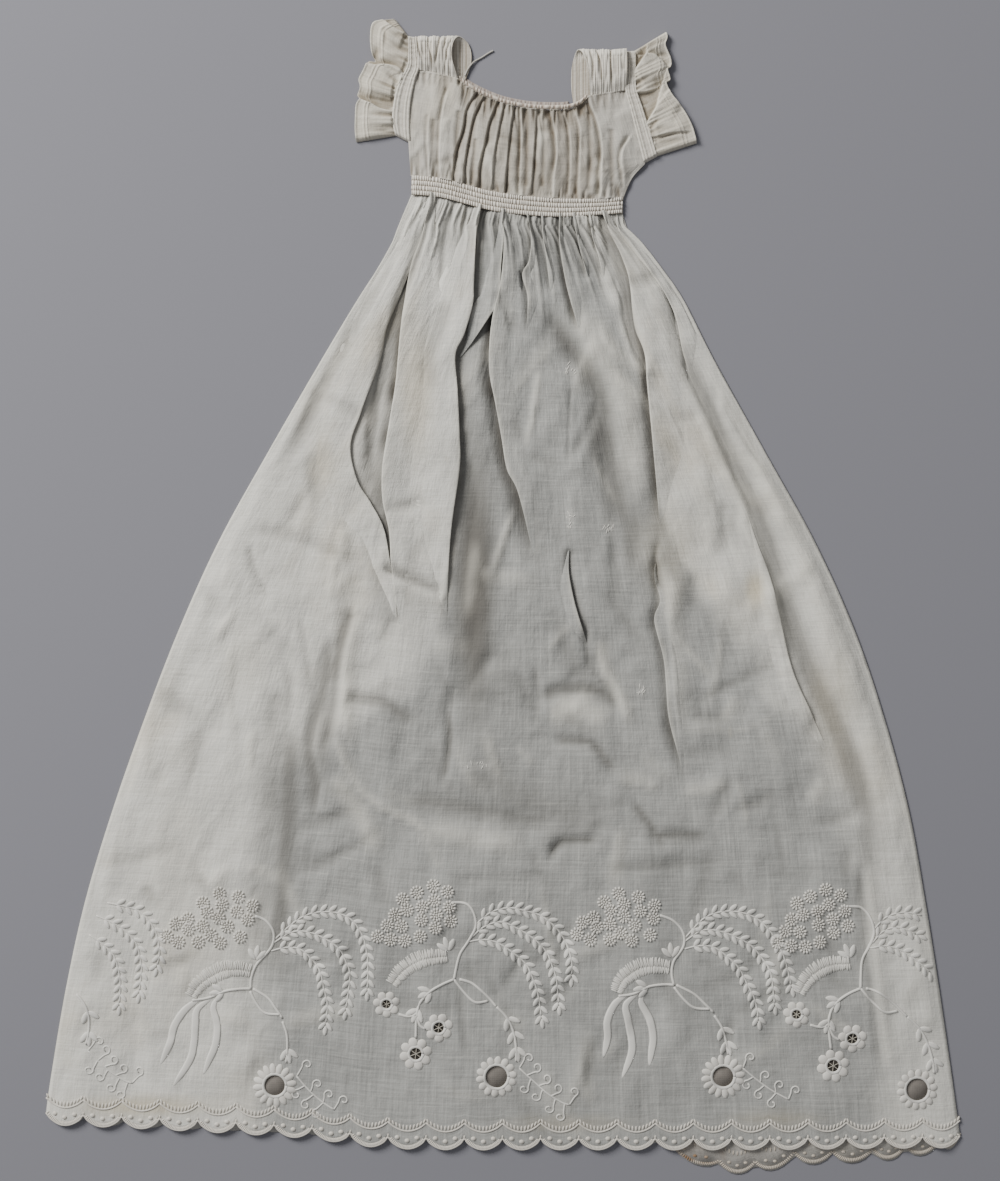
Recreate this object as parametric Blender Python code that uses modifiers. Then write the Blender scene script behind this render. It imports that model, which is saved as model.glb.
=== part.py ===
"""A long white muslin gown for a baby, laid flat on its back with the neck towards +Y.

Every size in the tables is in millimetres. X runs across the gown, Y from the hem up to
the neck and Z up from the surface it lies on. The back pieces lie flat on the surface,
the front pieces lie on them, and the straps, arm bands and frills fold round the edges.
"""
import math
from collections import namedtuple

import bmesh
import bpy
from mathutils import Vector

# Driving sizes
MM = 0.001
WALL = 1.2
SEAM = 0.3
EDGE_GAP = 0.7
FRONT_REST = WALL + SEAM
WAIST_CROWN = 2.4
BINDING_WIDTH = 5.6
BODICE_TOP_SHARE = 0.7
CASING_LIFT = 0.4
BACK_NECK_RISE = 1.5
SCALLOPS = 24
SCALLOP_DEPTH = 10.0
STEPS_PER_SCALLOP = 3
SKIRT_ROWS = 11
BAND_COLUMNS = 24
PLEAT_COLUMNS = 4
SKIRT_GATHERS = 2.2
RIPPLE_ROOM = 0.2
BODICE_COLUMNS = (6, 40, 6)
BODICE_SIDE_ROWS = 2
ARMHOLE_ROWS = 5
BODICE_GATHERS = 1.6
STRAP_COLUMNS = 12
STRAP_STEPS = 13
STRAP_RIPPLE = 0.45
SLEEVE_FRONT_STEPS = 20
SLEEVE_BACK_STEPS = 10
SLEEVE_TOP = 3.6
SLEEVE_END_BULGE = 1.44
FLUTE_HEIGHT = 8.0
FLUTES = 3
FRILL_SECTIONS = 3
CORD_DIAMETER = 1.6
CURVE_FINENESS = 16

Point = namedtuple("Point", "x y")
Side = namedtuple("Side", "y left right")
Station = namedtuple("Station", "inner_x inner_y seam_x seam_y rim_x rim_y")
Loop = namedtuple("Loop", "neck_x neck_y arm_x arm_y z")
Fold = namedtuple("Fold", "x0 y0 x1 y1 width height")

# Waist, from left to right: where the bodice meets the band and where the band meets the skirt
WAIST_TOP = [Point(-84, 386), Point(-58, 383), Point(-35, 377), Point(-12, 371),
             Point(16, 367), Point(52, 364), Point(89, 364), Point(110, 366)]
WAIST_BOTTOM = [Point(-84, 369), Point(-58, 366), Point(-35, 360), Point(-12, 354),
                Point(16, 350), Point(52, 348), Point(89, 350), Point(110, 352)]

# Sides of the skirt, from the waist down
SKIRT_SIDES = [Side(341, -96, 111), Side(327, -101, 126), Side(300, -116, 147),
               Side(272, -134, 166), Side(217, -167, 194), Side(134, -215, 240),
               Side(51, -261, 286), Side(-31, -298, 323), Side(-114, -330, 351),
               Side(-197, -359, 373), Side(-280, -384, 388), Side(-362, -402, 401),
               Side(-445, -416, 413)]

# Line of the hem's cusps on the front, and the part of the back's hem that hangs below it
HEM_FRONT = [Point(-420, -475), Point(-325, -479), Point(-187, -487), Point(-95, -497),
             Point(90, -498), Point(230, -498), Point(330, -497), Point(420, -496)]
HEM_BACK_HIDDEN = [Point(-420, -475), Point(-325, -479), Point(-187, -484), Point(-95, -492),
                   Point(90, -493), Point(152, -493)]
HEM_BACK_SHOWN = [Point(154, -503), Point(199, -520), Point(232, -521), Point(268, -512),
                  Point(303, -511), Point(340, -509), Point(370, -506), Point(402, -500),
                  Point(420, -494)]
HIDDEN_SCALLOPS = 15

# Upper edge of the bodice: the seam with each strap, and the neck between them
STRAP_SEAM_LEFT = [Point(-78, 484), Point(-42, 475)]
NECK = [Point(-42, 475), Point(-31, 466), Point(-17, 458.5), Point(1, 451.5), Point(24, 447),
        Point(47, 446), Point(61, 447), Point(71, 451), Point(79, 459)]
STRAP_SEAM_RIGHT = [Point(79, 459), Point(113, 465)]

# The same edge on the back, where each strap is sewn on nearer to the neck
BACK_SEAM_LEFT = [Point(-78, 484), Point(-36, 471)]
BACK_NECK = [Point(-36, 471), Point(-31, 466), Point(-17, 458.5), Point(1, 451.5),
             Point(24, 447), Point(47, 446), Point(61, 447), Point(64, 448.5)]
BACK_SEAM_RIGHT = [Point(64, 448.5), Point(113, 465)]

# Sides of the bodice, from the waist up to the underarm, and how many of the arm band's
# stations each armhole takes from there up to the strap
BODICE_LEFT = [Point(-84, 386), Point(-85, 400), Point(-86, 416)]
BODICE_RIGHT = [Point(110, 366), Point(118, 384), Point(130, 397)]
ARMHOLE_STATIONS = {"left": 6, "right": 5}

# Arm band and frill, from the underarm to the shoulder: the band's inner edge, the seam
# where the frill is gathered on, and the frill's outer rim
SLEEVE_LEFT = [Station(-86, 416, -98, 423, -135, 417), Station(-86.5, 434, -101, 436, -136, 438),
               Station(-86, 449, -100, 450, -134, 455), Station(-84, 462, -97.5, 463, -134, 467),
               Station(-81, 475, -93, 475, -130, 482), Station(-78, 484, -87, 487, -121, 496),
               Station(-79, 499, -86, 500, -122, 513), Station(-80, 508, -86, 509, -117, 526),
               Station(-81, 514, -87, 515, -98, 528.5)]
SLEEVE_RIGHT = [Station(130, 397, 141, 404, 178, 416), Station(125, 417, 137, 417, 174, 432),
                Station(121, 433, 132, 433, 166, 445), Station(117, 449, 127, 449, 156, 458),
                Station(113, 465, 122, 464, 151, 472), Station(114, 477, 121, 477, 154, 486),
                Station(114, 489, 121, 489, 151, 502), Station(114.5, 495, 121, 496, 150, 511),
                Station(114.5, 501, 121, 501.5, 149, 518)]

# Strap, from its seam on the front, over the fold and back down to its seam on the back
STRAP_LEFT = [Loop(-42, 475.5, -78, 484.5, 3.6), Loop(-46, 486, -78.5, 492, 7.0),
              Loop(-48, 496, -79, 500, 8.6), Loop(-46, 507, -80, 507.5, 8.0),
              Loop(-41, 513, -80.5, 513, 4.2), Loop(-33, 508, -80, 508, 0.3),
              Loop(-29.5, 496, -79, 500, 0), Loop(-31.5, 484, -78.5, 492, 0),
              Loop(-36.3, 471.8, -78, 484.7, 0)]
STRAP_RIGHT = [Loop(79, 459.5, 113, 465.5, 3.6), Loop(78, 470, 113.4, 476, 7.0),
               Loop(77, 482, 113.4, 486, 8.6), Loop(73, 495, 113.4, 495, 8.0),
               Loop(68, 501, 113.4, 502, 4.2), Loop(64.5, 495, 113.4, 496, 0.3),
               Loop(62, 482, 113.4, 486, 0), Loop(62, 466, 113.4, 476, 0),
               Loop(64.2, 449.4, 113, 465.7, 0)]

# Largest folds of the skirt's front, from the waist end to the hem end
SKIRT_FOLDS = [Fold(-73, 332, -140, 137, 14, 3.2), Fold(-81, 311, -104, 24, 10, 3.4),
               Fold(-25, 330, -48, 4, 10, 4.0), Fold(4, 337, 0, 146, 9, 3.2),
               Fold(58, 324, 82, 208, 10, 2.6), Fold(105, 335, 144, 33, 12, 3.8),
               Fold(152, 291, 273, -22, 14, 3.0), Fold(276, -50, 336, -215, 16, 2.4),
               Fold(-155, -50, -159, -142, 14, 2.6), Fold(155, -15, 168, -143, 13, 2.2),
               Fold(-108, 88, -95, -22, 11, 2.4), Fold(50, -103, 110, -112, 15, 1.8),
               Fold(-94, -201, 52, -220, 13, 1.8), Fold(52, -245, 200, -234, 13, 1.6)]

# Free end of the drawstring, from where it comes out beside the neck
DRAWSTRING = [(-35, 478, 2.3), (-34, 480.5, 2.35), (-32.8, 483, 2.4), (-31.2, 485.6, 2.4),
              (-29.4, 488, 2.2), (-27.4, 490.3, 1.7), (-25, 492.2, 1.2), (-22.2, 493.8, 0.9),
              (-19.4, 495.3, 0.82), (-16.8, 497, 0.82), (-14.2, 498.7, 0.82),
              (-11.6, 500.2, 0.82), (-9, 501.5, 0.82)]

# Colours of the cloth, as red, green and blue out of 255
MUSLIN = (174, 172, 166)
BODICE_CLOTH = (160, 156, 146)
STRAP_CLOTH = (175, 170, 159)
FRILL_CLOTH = (178, 172, 160)
BAND_CLOTH = (176, 170, 158)
CASING_CLOTH = (176, 160, 150)
CORD_COLOUR = (196, 192, 184)
CLOTH_ROUGHNESS = 0.9


def clear_scene():
    """Take away whatever the file holds, so that only the gown is left."""
    for thing in list(bpy.data.objects):
        bpy.data.objects.remove(thing, do_unlink=True)


def cloth(name, colour):
    """A matt cloth of one colour."""
    def linear(channel):
        share = channel / 255
        return share / 12.92 if share <= 0.04045 else ((share + 0.055) / 1.055) ** 2.4
    material = bpy.data.materials.new(name)
    material.use_nodes = True
    shader = material.node_tree.nodes["Principled BSDF"]
    shader.inputs["Base Color"].default_value = (*[linear(c) for c in colour], 1)
    shader.inputs["Roughness"].default_value = CLOTH_ROUGHNESS
    shader.inputs["Metallic"].default_value = 0
    return material


def resample(points, steps):
    """Points at equal steps along the smooth curve through the given points."""
    knots = [Vector(p) for p in points]
    fine = []
    for i in range(len(knots) - 1):
        a = knots[max(i - 1, 0)]
        b = knots[i]
        c = knots[i + 1]
        d = knots[min(i + 2, len(knots) - 1)]
        for k in range(CURVE_FINENESS):
            t = k / CURVE_FINENESS
            fine.append(0.5 * (2 * b + (c - a) * t + (2 * a - 5 * b + 4 * c - d) * t ** 2
                               + (3 * b - a - 3 * c + d) * t ** 3))
    fine.append(knots[-1])
    reach = [0.0]
    for a, b in zip(fine, fine[1:]):
        reach.append(reach[-1] + (b - a).length)
    result = []
    at = 0
    for step in range(steps + 1):
        goal = reach[-1] * step / steps
        while at < len(fine) - 2 and reach[at + 1] < goal:
            at += 1
        share = (goal - reach[at]) / (reach[at + 1] - reach[at])
        result.append(fine[at].lerp(fine[at + 1], share))
    return result


def join_runs(*runs):
    """One run of points from several that meet end to end."""
    points = list(runs[0])
    for run in runs[1:]:
        points.extend(run[1:])
    return points


def scalloped(cusps, depth, steps):
    """The edge between the cusps, swelling downwards in one round scallop for each pair."""
    edge = []
    for a, b in zip(cusps, cusps[1:]):
        edge.append(a.copy())
        for k in range(1, steps):
            share = k / steps
            point = a.lerp(b, share)
            point.y -= depth * math.sin(math.pi * share) ** 0.7
            edge.append(point)
    edge.append(cusps[-1].copy())
    return edge


def coons(bottom, top, left, right):
    """Rows of points, from bottom to top, that fill the space between four edges."""
    columns = len(bottom) - 1
    rows = len(left) - 1
    grid = []
    for j in range(rows + 1):
        v = j / rows
        row = []
        for i in range(columns + 1):
            u = i / columns
            across = left[j].lerp(right[j], u)
            along = bottom[i].lerp(top[i], v)
            low = bottom[0].lerp(bottom[-1], u)
            high = top[0].lerp(top[-1], u)
            row.append(across + along - low.lerp(high, v))
        grid.append(row)
    return grid


def crown(u):
    """Share of the full height across the gown: none at its sides, full in the middle."""
    return 1 - (2 * u - 1) ** 4


def smooth_step(low, high, value):
    """From 0 below low to 1 above high, without a corner."""
    share = min(max((value - low) / (high - low), 0), 1)
    return share * share * (3 - 2 * share)


def add_object(name, mesh_or_curve, material, collection):
    """Put new data in the scene under its own name, with its own material."""
    mesh_or_curve.materials.append(material)
    piece = bpy.data.objects.new(name, mesh_or_curve)
    collection.objects.link(piece)
    return piece


def add_wall(name, rows, material, collection, closed=False, side=1):
    """A sheet through rows of points, given its thickness on one side of them."""
    model = bmesh.new()
    verts = [[model.verts.new(Vector(p) * MM) for p in row] for row in rows]
    for lower, upper in zip(verts, verts[1:]):
        count = len(lower)
        for i in range(count if closed else count - 1):
            k = (i + 1) % count
            model.faces.new([lower[i], lower[k], upper[k], upper[i]])
    mesh = bpy.data.meshes.new(name)
    model.to_mesh(mesh)
    model.free()
    piece = add_object(name, mesh, material, collection)
    wall = piece.modifiers.new("cloth thickness", "SOLIDIFY")
    wall.thickness = WALL * MM
    wall.offset = side
    return piece


def add_flat(name, outline, material, collection):
    """A flat piece of cloth of the given outline, lying on the surface."""
    curve = bpy.data.curves.new(name, "CURVE")
    curve.dimensions = "2D"
    curve.fill_mode = "BOTH"
    curve.extrude = WALL * MM / 2
    spline = curve.splines.new("POLY")
    spline.points.add(len(outline) - 1)
    for point, place in zip(spline.points, outline):
        point.co = (place.x * MM, place.y * MM, 0, 1)
    spline.use_cyclic_u = True
    piece = add_object(name, curve, material, collection)
    piece.location.z = WALL * MM / 2
    return piece


def fold_height(place):
    """Height that the largest folds add to the skirt's front at a place."""
    height = 0
    for fold in SKIRT_FOLDS:
        start = Vector((fold.x0, fold.y0))
        run = Vector((fold.x1, fold.y1)) - start
        along = (place - start).dot(run) / run.length_squared
        nearest = start + run * min(max(along, 0), 1)
        distance = (place - nearest).length / fold.width
        height += fold.height * math.exp(-distance ** 2)
    return height


def skirt_front(material, collection):
    """The skirt's front panel, gathered at the waist and scalloped along its hem."""
    columns = SCALLOPS * STEPS_PER_SCALLOP
    cusps = resample(HEM_FRONT, SCALLOPS)
    hem = scalloped(cusps, SCALLOP_DEPTH, STEPS_PER_SCALLOP)
    waist = [p + Vector((0, -SEAM - RIPPLE_ROOM)) for p in resample(WAIST_BOTTOM, columns)]
    level_hem = resample(HEM_FRONT, columns)
    left = [waist[0]] + [Vector((s.left, s.y)) for s in SKIRT_SIDES] + [level_hem[0]]
    right = [waist[-1]] + [Vector((s.right, s.y)) for s in SKIRT_SIDES] + [level_hem[-1]]
    grid = coons(level_hem, waist, resample(left[::-1], SKIRT_ROWS),
                 resample(right[::-1], SKIRT_ROWS))
    grid[0] = hem
    rows = []
    for j, line in enumerate(grid):
        v = j / SKIRT_ROWS
        row = []
        for i, place in enumerate(line):
            u = i / columns
            side = smooth_step(0, 0.05, min(u, 1 - u))
            ripple = 0.5 + 0.5 * math.sin(2 * math.pi * i / PLEAT_COLUMNS)
            gathers = SKIRT_GATHERS * ripple * smooth_step(0.35, 0.95, v)
            folds = fold_height(place) * smooth_step(0, 0.15, v)
            lift = WAIST_CROWN * crown(u) * smooth_step(0.2, 1, v) + gathers + folds
            row.append((place.x, place.y, FRONT_REST + side * lift))
        rows.append(row)
    return add_wall("skirt_front", rows, material, collection)


def skirt_back(material, collection):
    """The skirt's back panel, flat on the surface, with its hem showing at one side."""
    cusps = resample(HEM_BACK_HIDDEN, HIDDEN_SCALLOPS)
    cusps += [Vector(p) for p in HEM_BACK_SHOWN]
    hem = scalloped(cusps, SCALLOP_DEPTH, STEPS_PER_SCALLOP)
    waist = [p + Vector((0, -SEAM)) for p in resample(WAIST_BOTTOM, BAND_COLUMNS)]
    left = [Vector((s.left, s.y)) for s in reversed(SKIRT_SIDES)]
    right = [Vector((s.right, s.y)) for s in SKIRT_SIDES]
    outline = hem + right[::-1] + waist[::-1] + left[::-1]
    return add_flat("skirt_back", outline, material, collection)


def waistbands(colour, collection):
    """The band between bodice and skirt, front and back."""
    top = [p + Vector((0, -SEAM)) for p in resample(WAIST_TOP, BAND_COLUMNS)]
    bottom = resample(WAIST_BOTTOM, BAND_COLUMNS)
    left = resample([bottom[0], top[0]], 2)
    right = resample([bottom[-1], top[-1]], 2)
    rows = []
    for line in coons(bottom, top, left, right):
        rows.append([(p.x, p.y, FRONT_REST + WAIST_CROWN * crown(i / BAND_COLUMNS))
                     for i, p in enumerate(line)])
    add_wall("waistband_front", rows, cloth("front waistband", colour), collection)
    outline = bottom + top[::-1]
    add_flat("waistband_back", outline, cloth("back waistband", colour), collection)


def upper_edge(*runs):
    """The bodice's upper edge, from the left armhole to the right one."""
    return join_runs(*[resample(run, columns) for run, columns in zip(runs, BODICE_COLUMNS)])


def bodice_side(side):
    """The bodice's edge on one side, from the waist past the underarm to the strap."""
    straight, stations = (BODICE_LEFT, SLEEVE_LEFT) if side == "left" else (BODICE_RIGHT, SLEEVE_RIGHT)
    armhole = [(s.inner_x, s.inner_y) for s in stations[:ARMHOLE_STATIONS[side]]]
    return join_runs(resample(straight, BODICE_SIDE_ROWS), resample(armhole, ARMHOLE_ROWS))


def bodice_lift(u, v):
    """Height of the front bodice's underside over the surface."""
    return FRONT_REST + WAIST_CROWN * crown(u) * (1 - (1 - BODICE_TOP_SHARE) * v)


def bodice_front(material, collection):
    """The bodice's front, gathered between the waist and the neck."""
    columns = sum(BODICE_COLUMNS)
    top = upper_edge(STRAP_SEAM_LEFT, NECK, STRAP_SEAM_RIGHT)
    grid = coons(resample(WAIST_TOP, columns), top, bodice_side("left"), bodice_side("right"))
    rows = []
    for j, line in enumerate(grid):
        v = j / (len(grid) - 1)
        row = []
        for i, place in enumerate(line):
            u = i / columns
            gathered = smooth_step(0.08, 0.25, min(u, 1 - u))
            ripple = 0.5 + 0.5 * math.sin(2 * math.pi * i / PLEAT_COLUMNS)
            row.append((place.x, place.y, bodice_lift(u, v) + BODICE_GATHERS * gathered * ripple))
        rows.append(row)
    return add_wall("bodice_front", rows, material, collection)


def bodice_back(material, collection):
    """The bodice's back, flat on the surface."""
    top = upper_edge(BACK_SEAM_LEFT, BACK_NECK, BACK_SEAM_RIGHT)
    outline = join_runs(resample(WAIST_TOP, BAND_COLUMNS), bodice_side("right"), top[::-1],
                        bodice_side("left")[::-1])[:-1]
    return add_flat("bodice_back", outline, material, collection)


def neck_bindings(colour, collection):
    """The narrow casing round the neck that the drawstring runs in, front and back."""
    low = [p + Vector((0, EDGE_GAP)) for p in resample(NECK, BODICE_COLUMNS[1])[1:-3]]
    height = FRONT_REST + WAIST_CROWN * BODICE_TOP_SHARE + CASING_LIFT
    rows = [[(p.x, p.y + rise, height) for p in low] for rise in (0, BINDING_WIDTH)]
    add_wall("neck_binding_front", rows, cloth("front casing", colour), collection)
    low = [p + Vector((0, EDGE_GAP)) for p in resample(BACK_NECK, BODICE_COLUMNS[1])[2:-2]]
    high = [p + Vector((0, BINDING_WIDTH + BACK_NECK_RISE)) for p in low]
    outline = low + high[::-1]
    add_flat("neck_binding_back", outline, cloth("back casing", colour), collection)


def shoulder_strap(side, table, inward, collection):
    """A gathered strap that folds over the shoulder, from the front's seam to the back's."""
    neck_side = resample([(r.neck_x, r.neck_y, r.z) for r in table], STRAP_STEPS)
    arm_side = resample([(r.arm_x, r.arm_y, r.z) for r in table], STRAP_STEPS)
    rows = []
    for step, (near, far) in enumerate(zip(neck_side, arm_side)):
        row = []
        for i in range(STRAP_COLUMNS + 1):
            place = far.lerp(near, i / STRAP_COLUMNS)
            on_top = smooth_step(3, 7, place.z)
            place.z = max(place.z, 0) - on_top * STRAP_RIPPLE * (i % 2)
            row.append(place)
        rows.append(row if inward > 0 else row[::-1])
    material = cloth(side + " strap muslin", STRAP_CLOTH)
    return add_wall("shoulder_strap_" + side, rows, material, collection, side=-1)


def sleeve_ring(front, back, end_bulge):
    """One closed section of a flattened sleeve, up its front and down its back."""
    low_end = front[0].lerp(back[-1], 0.5) - end_bulge
    high_end = front[-1].lerp(back[0], 0.5) + end_bulge
    return front + [high_end] + back + [low_end]


def sleeve_section(inner, outer, share, flute):
    """A section of the sleeve between two edges, each a run from underarm to shoulder."""
    front = []
    for i in range(SLEEVE_FRONT_STEPS + 1):
        t = i / SLEEVE_FRONT_STEPS
        place = inner[i].lerp(outer[i], share)
        wave = 0.5 - 0.5 * math.cos(2 * math.pi * FLUTES * t)
        front.append(Vector((place.x, place.y, SLEEVE_TOP + flute * wave)))
    back = []
    for i in range(SLEEVE_BACK_STEPS + 1):
        k = SLEEVE_FRONT_STEPS - i * SLEEVE_FRONT_STEPS // SLEEVE_BACK_STEPS
        place = inner[k].lerp(outer[k], share)
        back.append(Vector((place.x, place.y, 0)))
    run = (front[-1] - front[0]).normalized() * SLEEVE_END_BULGE
    return sleeve_ring(front, back, run)


def sleeve(side, table, outward, collection):
    """An arm band and the fluted frill that is gathered on to it."""
    inner = resample([(s.inner_x + outward * EDGE_GAP, s.inner_y) for s in table],
                     SLEEVE_FRONT_STEPS)
    seam = resample([(s.seam_x, s.seam_y) for s in table], SLEEVE_FRONT_STEPS)
    start = resample([(s.seam_x + outward * EDGE_GAP, s.seam_y) for s in table],
                     SLEEVE_FRONT_STEPS)
    rim = resample([(s.rim_x, s.rim_y) for s in table], SLEEVE_FRONT_STEPS)
    band = [sleeve_section(inner, seam, share, 0) for share in (0, 0.5, 1)]
    frill = []
    for k in range(FRILL_SECTIONS + 1):
        share = k / FRILL_SECTIONS
        frill.append(sleeve_section(start, rim, share, FLUTE_HEIGHT * smooth_step(0, 1, share)))
    if outward > 0:
        band = [ring[::-1] for ring in band]
        frill = [ring[::-1] for ring in frill]
    add_wall("armband_" + side, band, cloth(side + " arm band", BAND_CLOTH), collection,
             closed=True, side=-1)
    add_wall("sleeve_frill_" + side, frill, cloth(side + " frill muslin", FRILL_CLOTH),
             collection, closed=True, side=-1)


def drawstring(material, collection):
    """The free end of the drawstring, lying over the strap's edge and on the surface."""
    curve = bpy.data.curves.new("drawstring_end", "CURVE")
    curve.dimensions = "3D"
    curve.bevel_depth = CORD_DIAMETER * MM / 2
    curve.bevel_resolution = 2
    curve.use_fill_caps = True
    spline = curve.splines.new("POLY")
    spline.points.add(len(DRAWSTRING) - 1)
    for point, (x, y, z) in zip(spline.points, DRAWSTRING):
        point.co = (x * MM, y * MM, z * MM, 1)
    return add_object("drawstring_end", curve, material, collection)


def build():
    """Make every piece of the gown."""
    clear_scene()
    collection = bpy.data.collections.new("baby gown")
    bpy.context.scene.collection.children.link(collection)
    skirt_front(cloth("skirt front muslin", MUSLIN), collection)
    skirt_back(cloth("skirt back muslin", MUSLIN), collection)
    waistbands(BAND_CLOTH, collection)
    bodice_front(cloth("bodice front muslin", BODICE_CLOTH), collection)
    bodice_back(cloth("bodice back muslin", BODICE_CLOTH), collection)
    neck_bindings(CASING_CLOTH, collection)
    shoulder_strap("left", STRAP_LEFT, 1, collection)
    shoulder_strap("right", STRAP_RIGHT, -1, collection)
    sleeve("left", SLEEVE_LEFT, -1, collection)
    sleeve("right", SLEEVE_RIGHT, 1, collection)
    drawstring(cloth("drawstring cotton", CORD_COLOUR), collection)


build()
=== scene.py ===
# %% [markdown]
# # A long muslin gown for a baby
#
# The gown lies flat on its back with its front on top. It is thin cotton muslin, gathered
# at the neck and at a high corded waistband, with frilled sleeves and a skirt whose border
# is worked in white thread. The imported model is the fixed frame: every piece here stands
# on it, in the same place and size, and only adds what cloth and stitches look like.

# %% Load the frame
import math
from collections import namedtuple

import bpy
import numpy as np
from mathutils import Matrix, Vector


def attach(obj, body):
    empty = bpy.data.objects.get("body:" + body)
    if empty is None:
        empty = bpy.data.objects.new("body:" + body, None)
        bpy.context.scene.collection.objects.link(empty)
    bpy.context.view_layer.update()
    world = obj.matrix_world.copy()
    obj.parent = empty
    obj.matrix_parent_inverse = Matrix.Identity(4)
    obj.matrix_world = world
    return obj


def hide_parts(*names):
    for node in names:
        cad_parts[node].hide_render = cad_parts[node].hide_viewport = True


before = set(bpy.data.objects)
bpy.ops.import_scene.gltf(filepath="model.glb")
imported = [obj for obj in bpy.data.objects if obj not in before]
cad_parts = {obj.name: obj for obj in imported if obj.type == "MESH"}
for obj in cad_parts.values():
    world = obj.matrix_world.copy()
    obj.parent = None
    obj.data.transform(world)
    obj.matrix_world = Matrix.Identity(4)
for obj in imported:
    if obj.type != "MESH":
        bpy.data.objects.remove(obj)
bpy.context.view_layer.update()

# %% [markdown]
# The camera looks straight down, as the photograph does. The photograph is 1000 pixels wide
# and 1181 high, and one pixel is 0.92 mm on the cloth, so the lens follows from the height.

# %% Camera
MM = 0.001
PIXEL = 0.92 * MM
PHOTO_HEIGHT = 1181
CAMERA_HEIGHT = 1.45
SENSOR = 36.0
VIEW_CENTRE = (-2.8 * MM, 5.1 * MM)

camera_data = bpy.data.cameras.new("camera")
camera_data.sensor_width = SENSOR
camera_data.lens = SENSOR * CAMERA_HEIGHT / (PHOTO_HEIGHT * PIXEL)
camera = bpy.data.objects.new("camera", camera_data)
camera.location = (*VIEW_CENTRE, CAMERA_HEIGHT)
bpy.context.scene.collection.objects.link(camera)
bpy.context.scene.camera = camera
print("lens:", round(camera_data.lens, 2), "mm")

# %% [markdown]
# Curves drawn through a few points give every edge of the gown. A Catmull-Rom curve passes
# through all of its points, and cutting it again at equal steps lets any edge have as many
# columns as its cloth needs.

# %% Curves through points
FINENESS = 16


def smooth_path(points, steps):
    """Places at equal steps along the smooth curve through the given points."""
    knots = np.array(points, float)
    before = np.vstack([knots[:1], knots[:-2]])
    after = np.vstack([knots[2:], knots[-1:]])
    share = (np.arange(FINENESS) / FINENESS)[None, :, None]
    a, b, c, d = [k[:, None, :] for k in (before, knots[:-1], knots[1:], after)]
    curve = 0.5 * (2 * b + (c - a) * share + (2 * a - 5 * b + 4 * c - d) * share ** 2
                   + (3 * b - a - 3 * c + d) * share ** 3)
    curve = np.vstack([curve.reshape(-1, knots.shape[1]), knots[-1:]])
    reach = np.concatenate([[0], np.cumsum(np.linalg.norm(np.diff(curve, axis=0), axis=1))])
    goals = np.linspace(0, reach[-1], steps + 1)
    return np.stack([np.interp(goals, reach, axis) for axis in curve.T], axis=1)


def length_of(path):
    """Length of a path, straight from each point to the next."""
    return np.linalg.norm(np.diff(path, axis=0), axis=1).sum()


def stepped_path(path, step, least):
    """The smooth curve through a path, cut into steps of about one size."""
    path = np.array(path, float)
    return smooth_path(path, max(int(length_of(path) / step), least))


def directions(line):
    """The way a line runs at each of its places, one unit long."""
    heading = np.gradient(line, axis=0)
    return heading / np.linalg.norm(heading, axis=1)[:, None]


def read_along(edge, share):
    """What a row of places at equal steps holds at shares along it."""
    at = share * (len(edge) - 1)
    return np.stack([np.interp(at, np.arange(len(edge)), axis) for axis in edge.T], axis=1)


def smooth_step(low, high, value):
    """From 0 below low to 1 above high, without a corner."""
    share = np.clip((value - low) / (high - low), 0, 1)
    return share * share * (3 - 2 * share)


def fill_between(bottom, top, left, right, u, v):
    """Places inside four edges, at shares u across and v from the bottom to the top."""
    uu, vv = u[:, None], v[:, None]
    across = read_along(left, v) * (1 - uu) + read_along(right, v) * uu
    upwards = read_along(bottom, u) * (1 - vv) + read_along(top, u) * vv
    low = bottom[0] * (1 - uu) + bottom[-1] * uu
    high = top[0] * (1 - uu) + top[-1] * uu
    return across + upwards - (low * (1 - vv) + high * vv)


print("a curve through 3 points:", smooth_path([(0, 0), (5, 2), (9, 0)], 3).round(1).tolist())

# %% [markdown]
# These tables give the edges of the gown in millimetres, seen from above. They are the same
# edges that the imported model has, so each piece of cloth lies on the solid it stands for.

# %% Edges of the gown
Side = namedtuple("Side", "y left right")
Station = namedtuple("Station", "inner_x inner_y seam_x seam_y rim_x rim_y")
Loop = namedtuple("Loop", "neck_x neck_y arm_x arm_y z")

WAIST_TOP = [(-84, 386), (-58, 383), (-35, 377), (-12, 371),
             (16, 367), (52, 364), (89, 364), (110, 366)]
WAIST_BOTTOM = [(-84, 369), (-58, 366), (-35, 360), (-12, 354),
                (16, 350), (52, 348), (89, 350), (110, 352)]
SKIRT_SIDES = [Side(341, -96, 111), Side(327, -101, 126), Side(300, -116, 147),
               Side(272, -134, 166), Side(217, -167, 194), Side(134, -215, 240),
               Side(51, -261, 286), Side(-31, -298, 323), Side(-114, -330, 351),
               Side(-197, -359, 373), Side(-280, -384, 388), Side(-362, -402, 401),
               Side(-445, -416, 413)]
HEM_FRONT = [(-420, -475), (-325, -479), (-187, -487), (-95, -497),
             (90, -498), (230, -498), (330, -497), (420, -496)]
HEM_BACK = [(-420, -475), (-325, -479), (-187, -484), (-95, -492),
            (90, -493), (152, -493)]
HEM_BACK_SHOWN = [(154, -503), (199, -520), (232, -521), (268, -512),
                  (303, -511), (340, -509), (370, -506), (402, -500),
                  (420, -494)]
NECK = [(-42, 475), (-31, 466), (-17, 458.5), (1, 451.5), (24, 447),
        (47, 446), (61, 447), (71, 451), (79, 459)]
BODICE_LEFT = [(-84, 386), (-85, 400), (-86, 416)]
BODICE_RIGHT = [(110, 366), (118, 384), (130, 397)]
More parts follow.
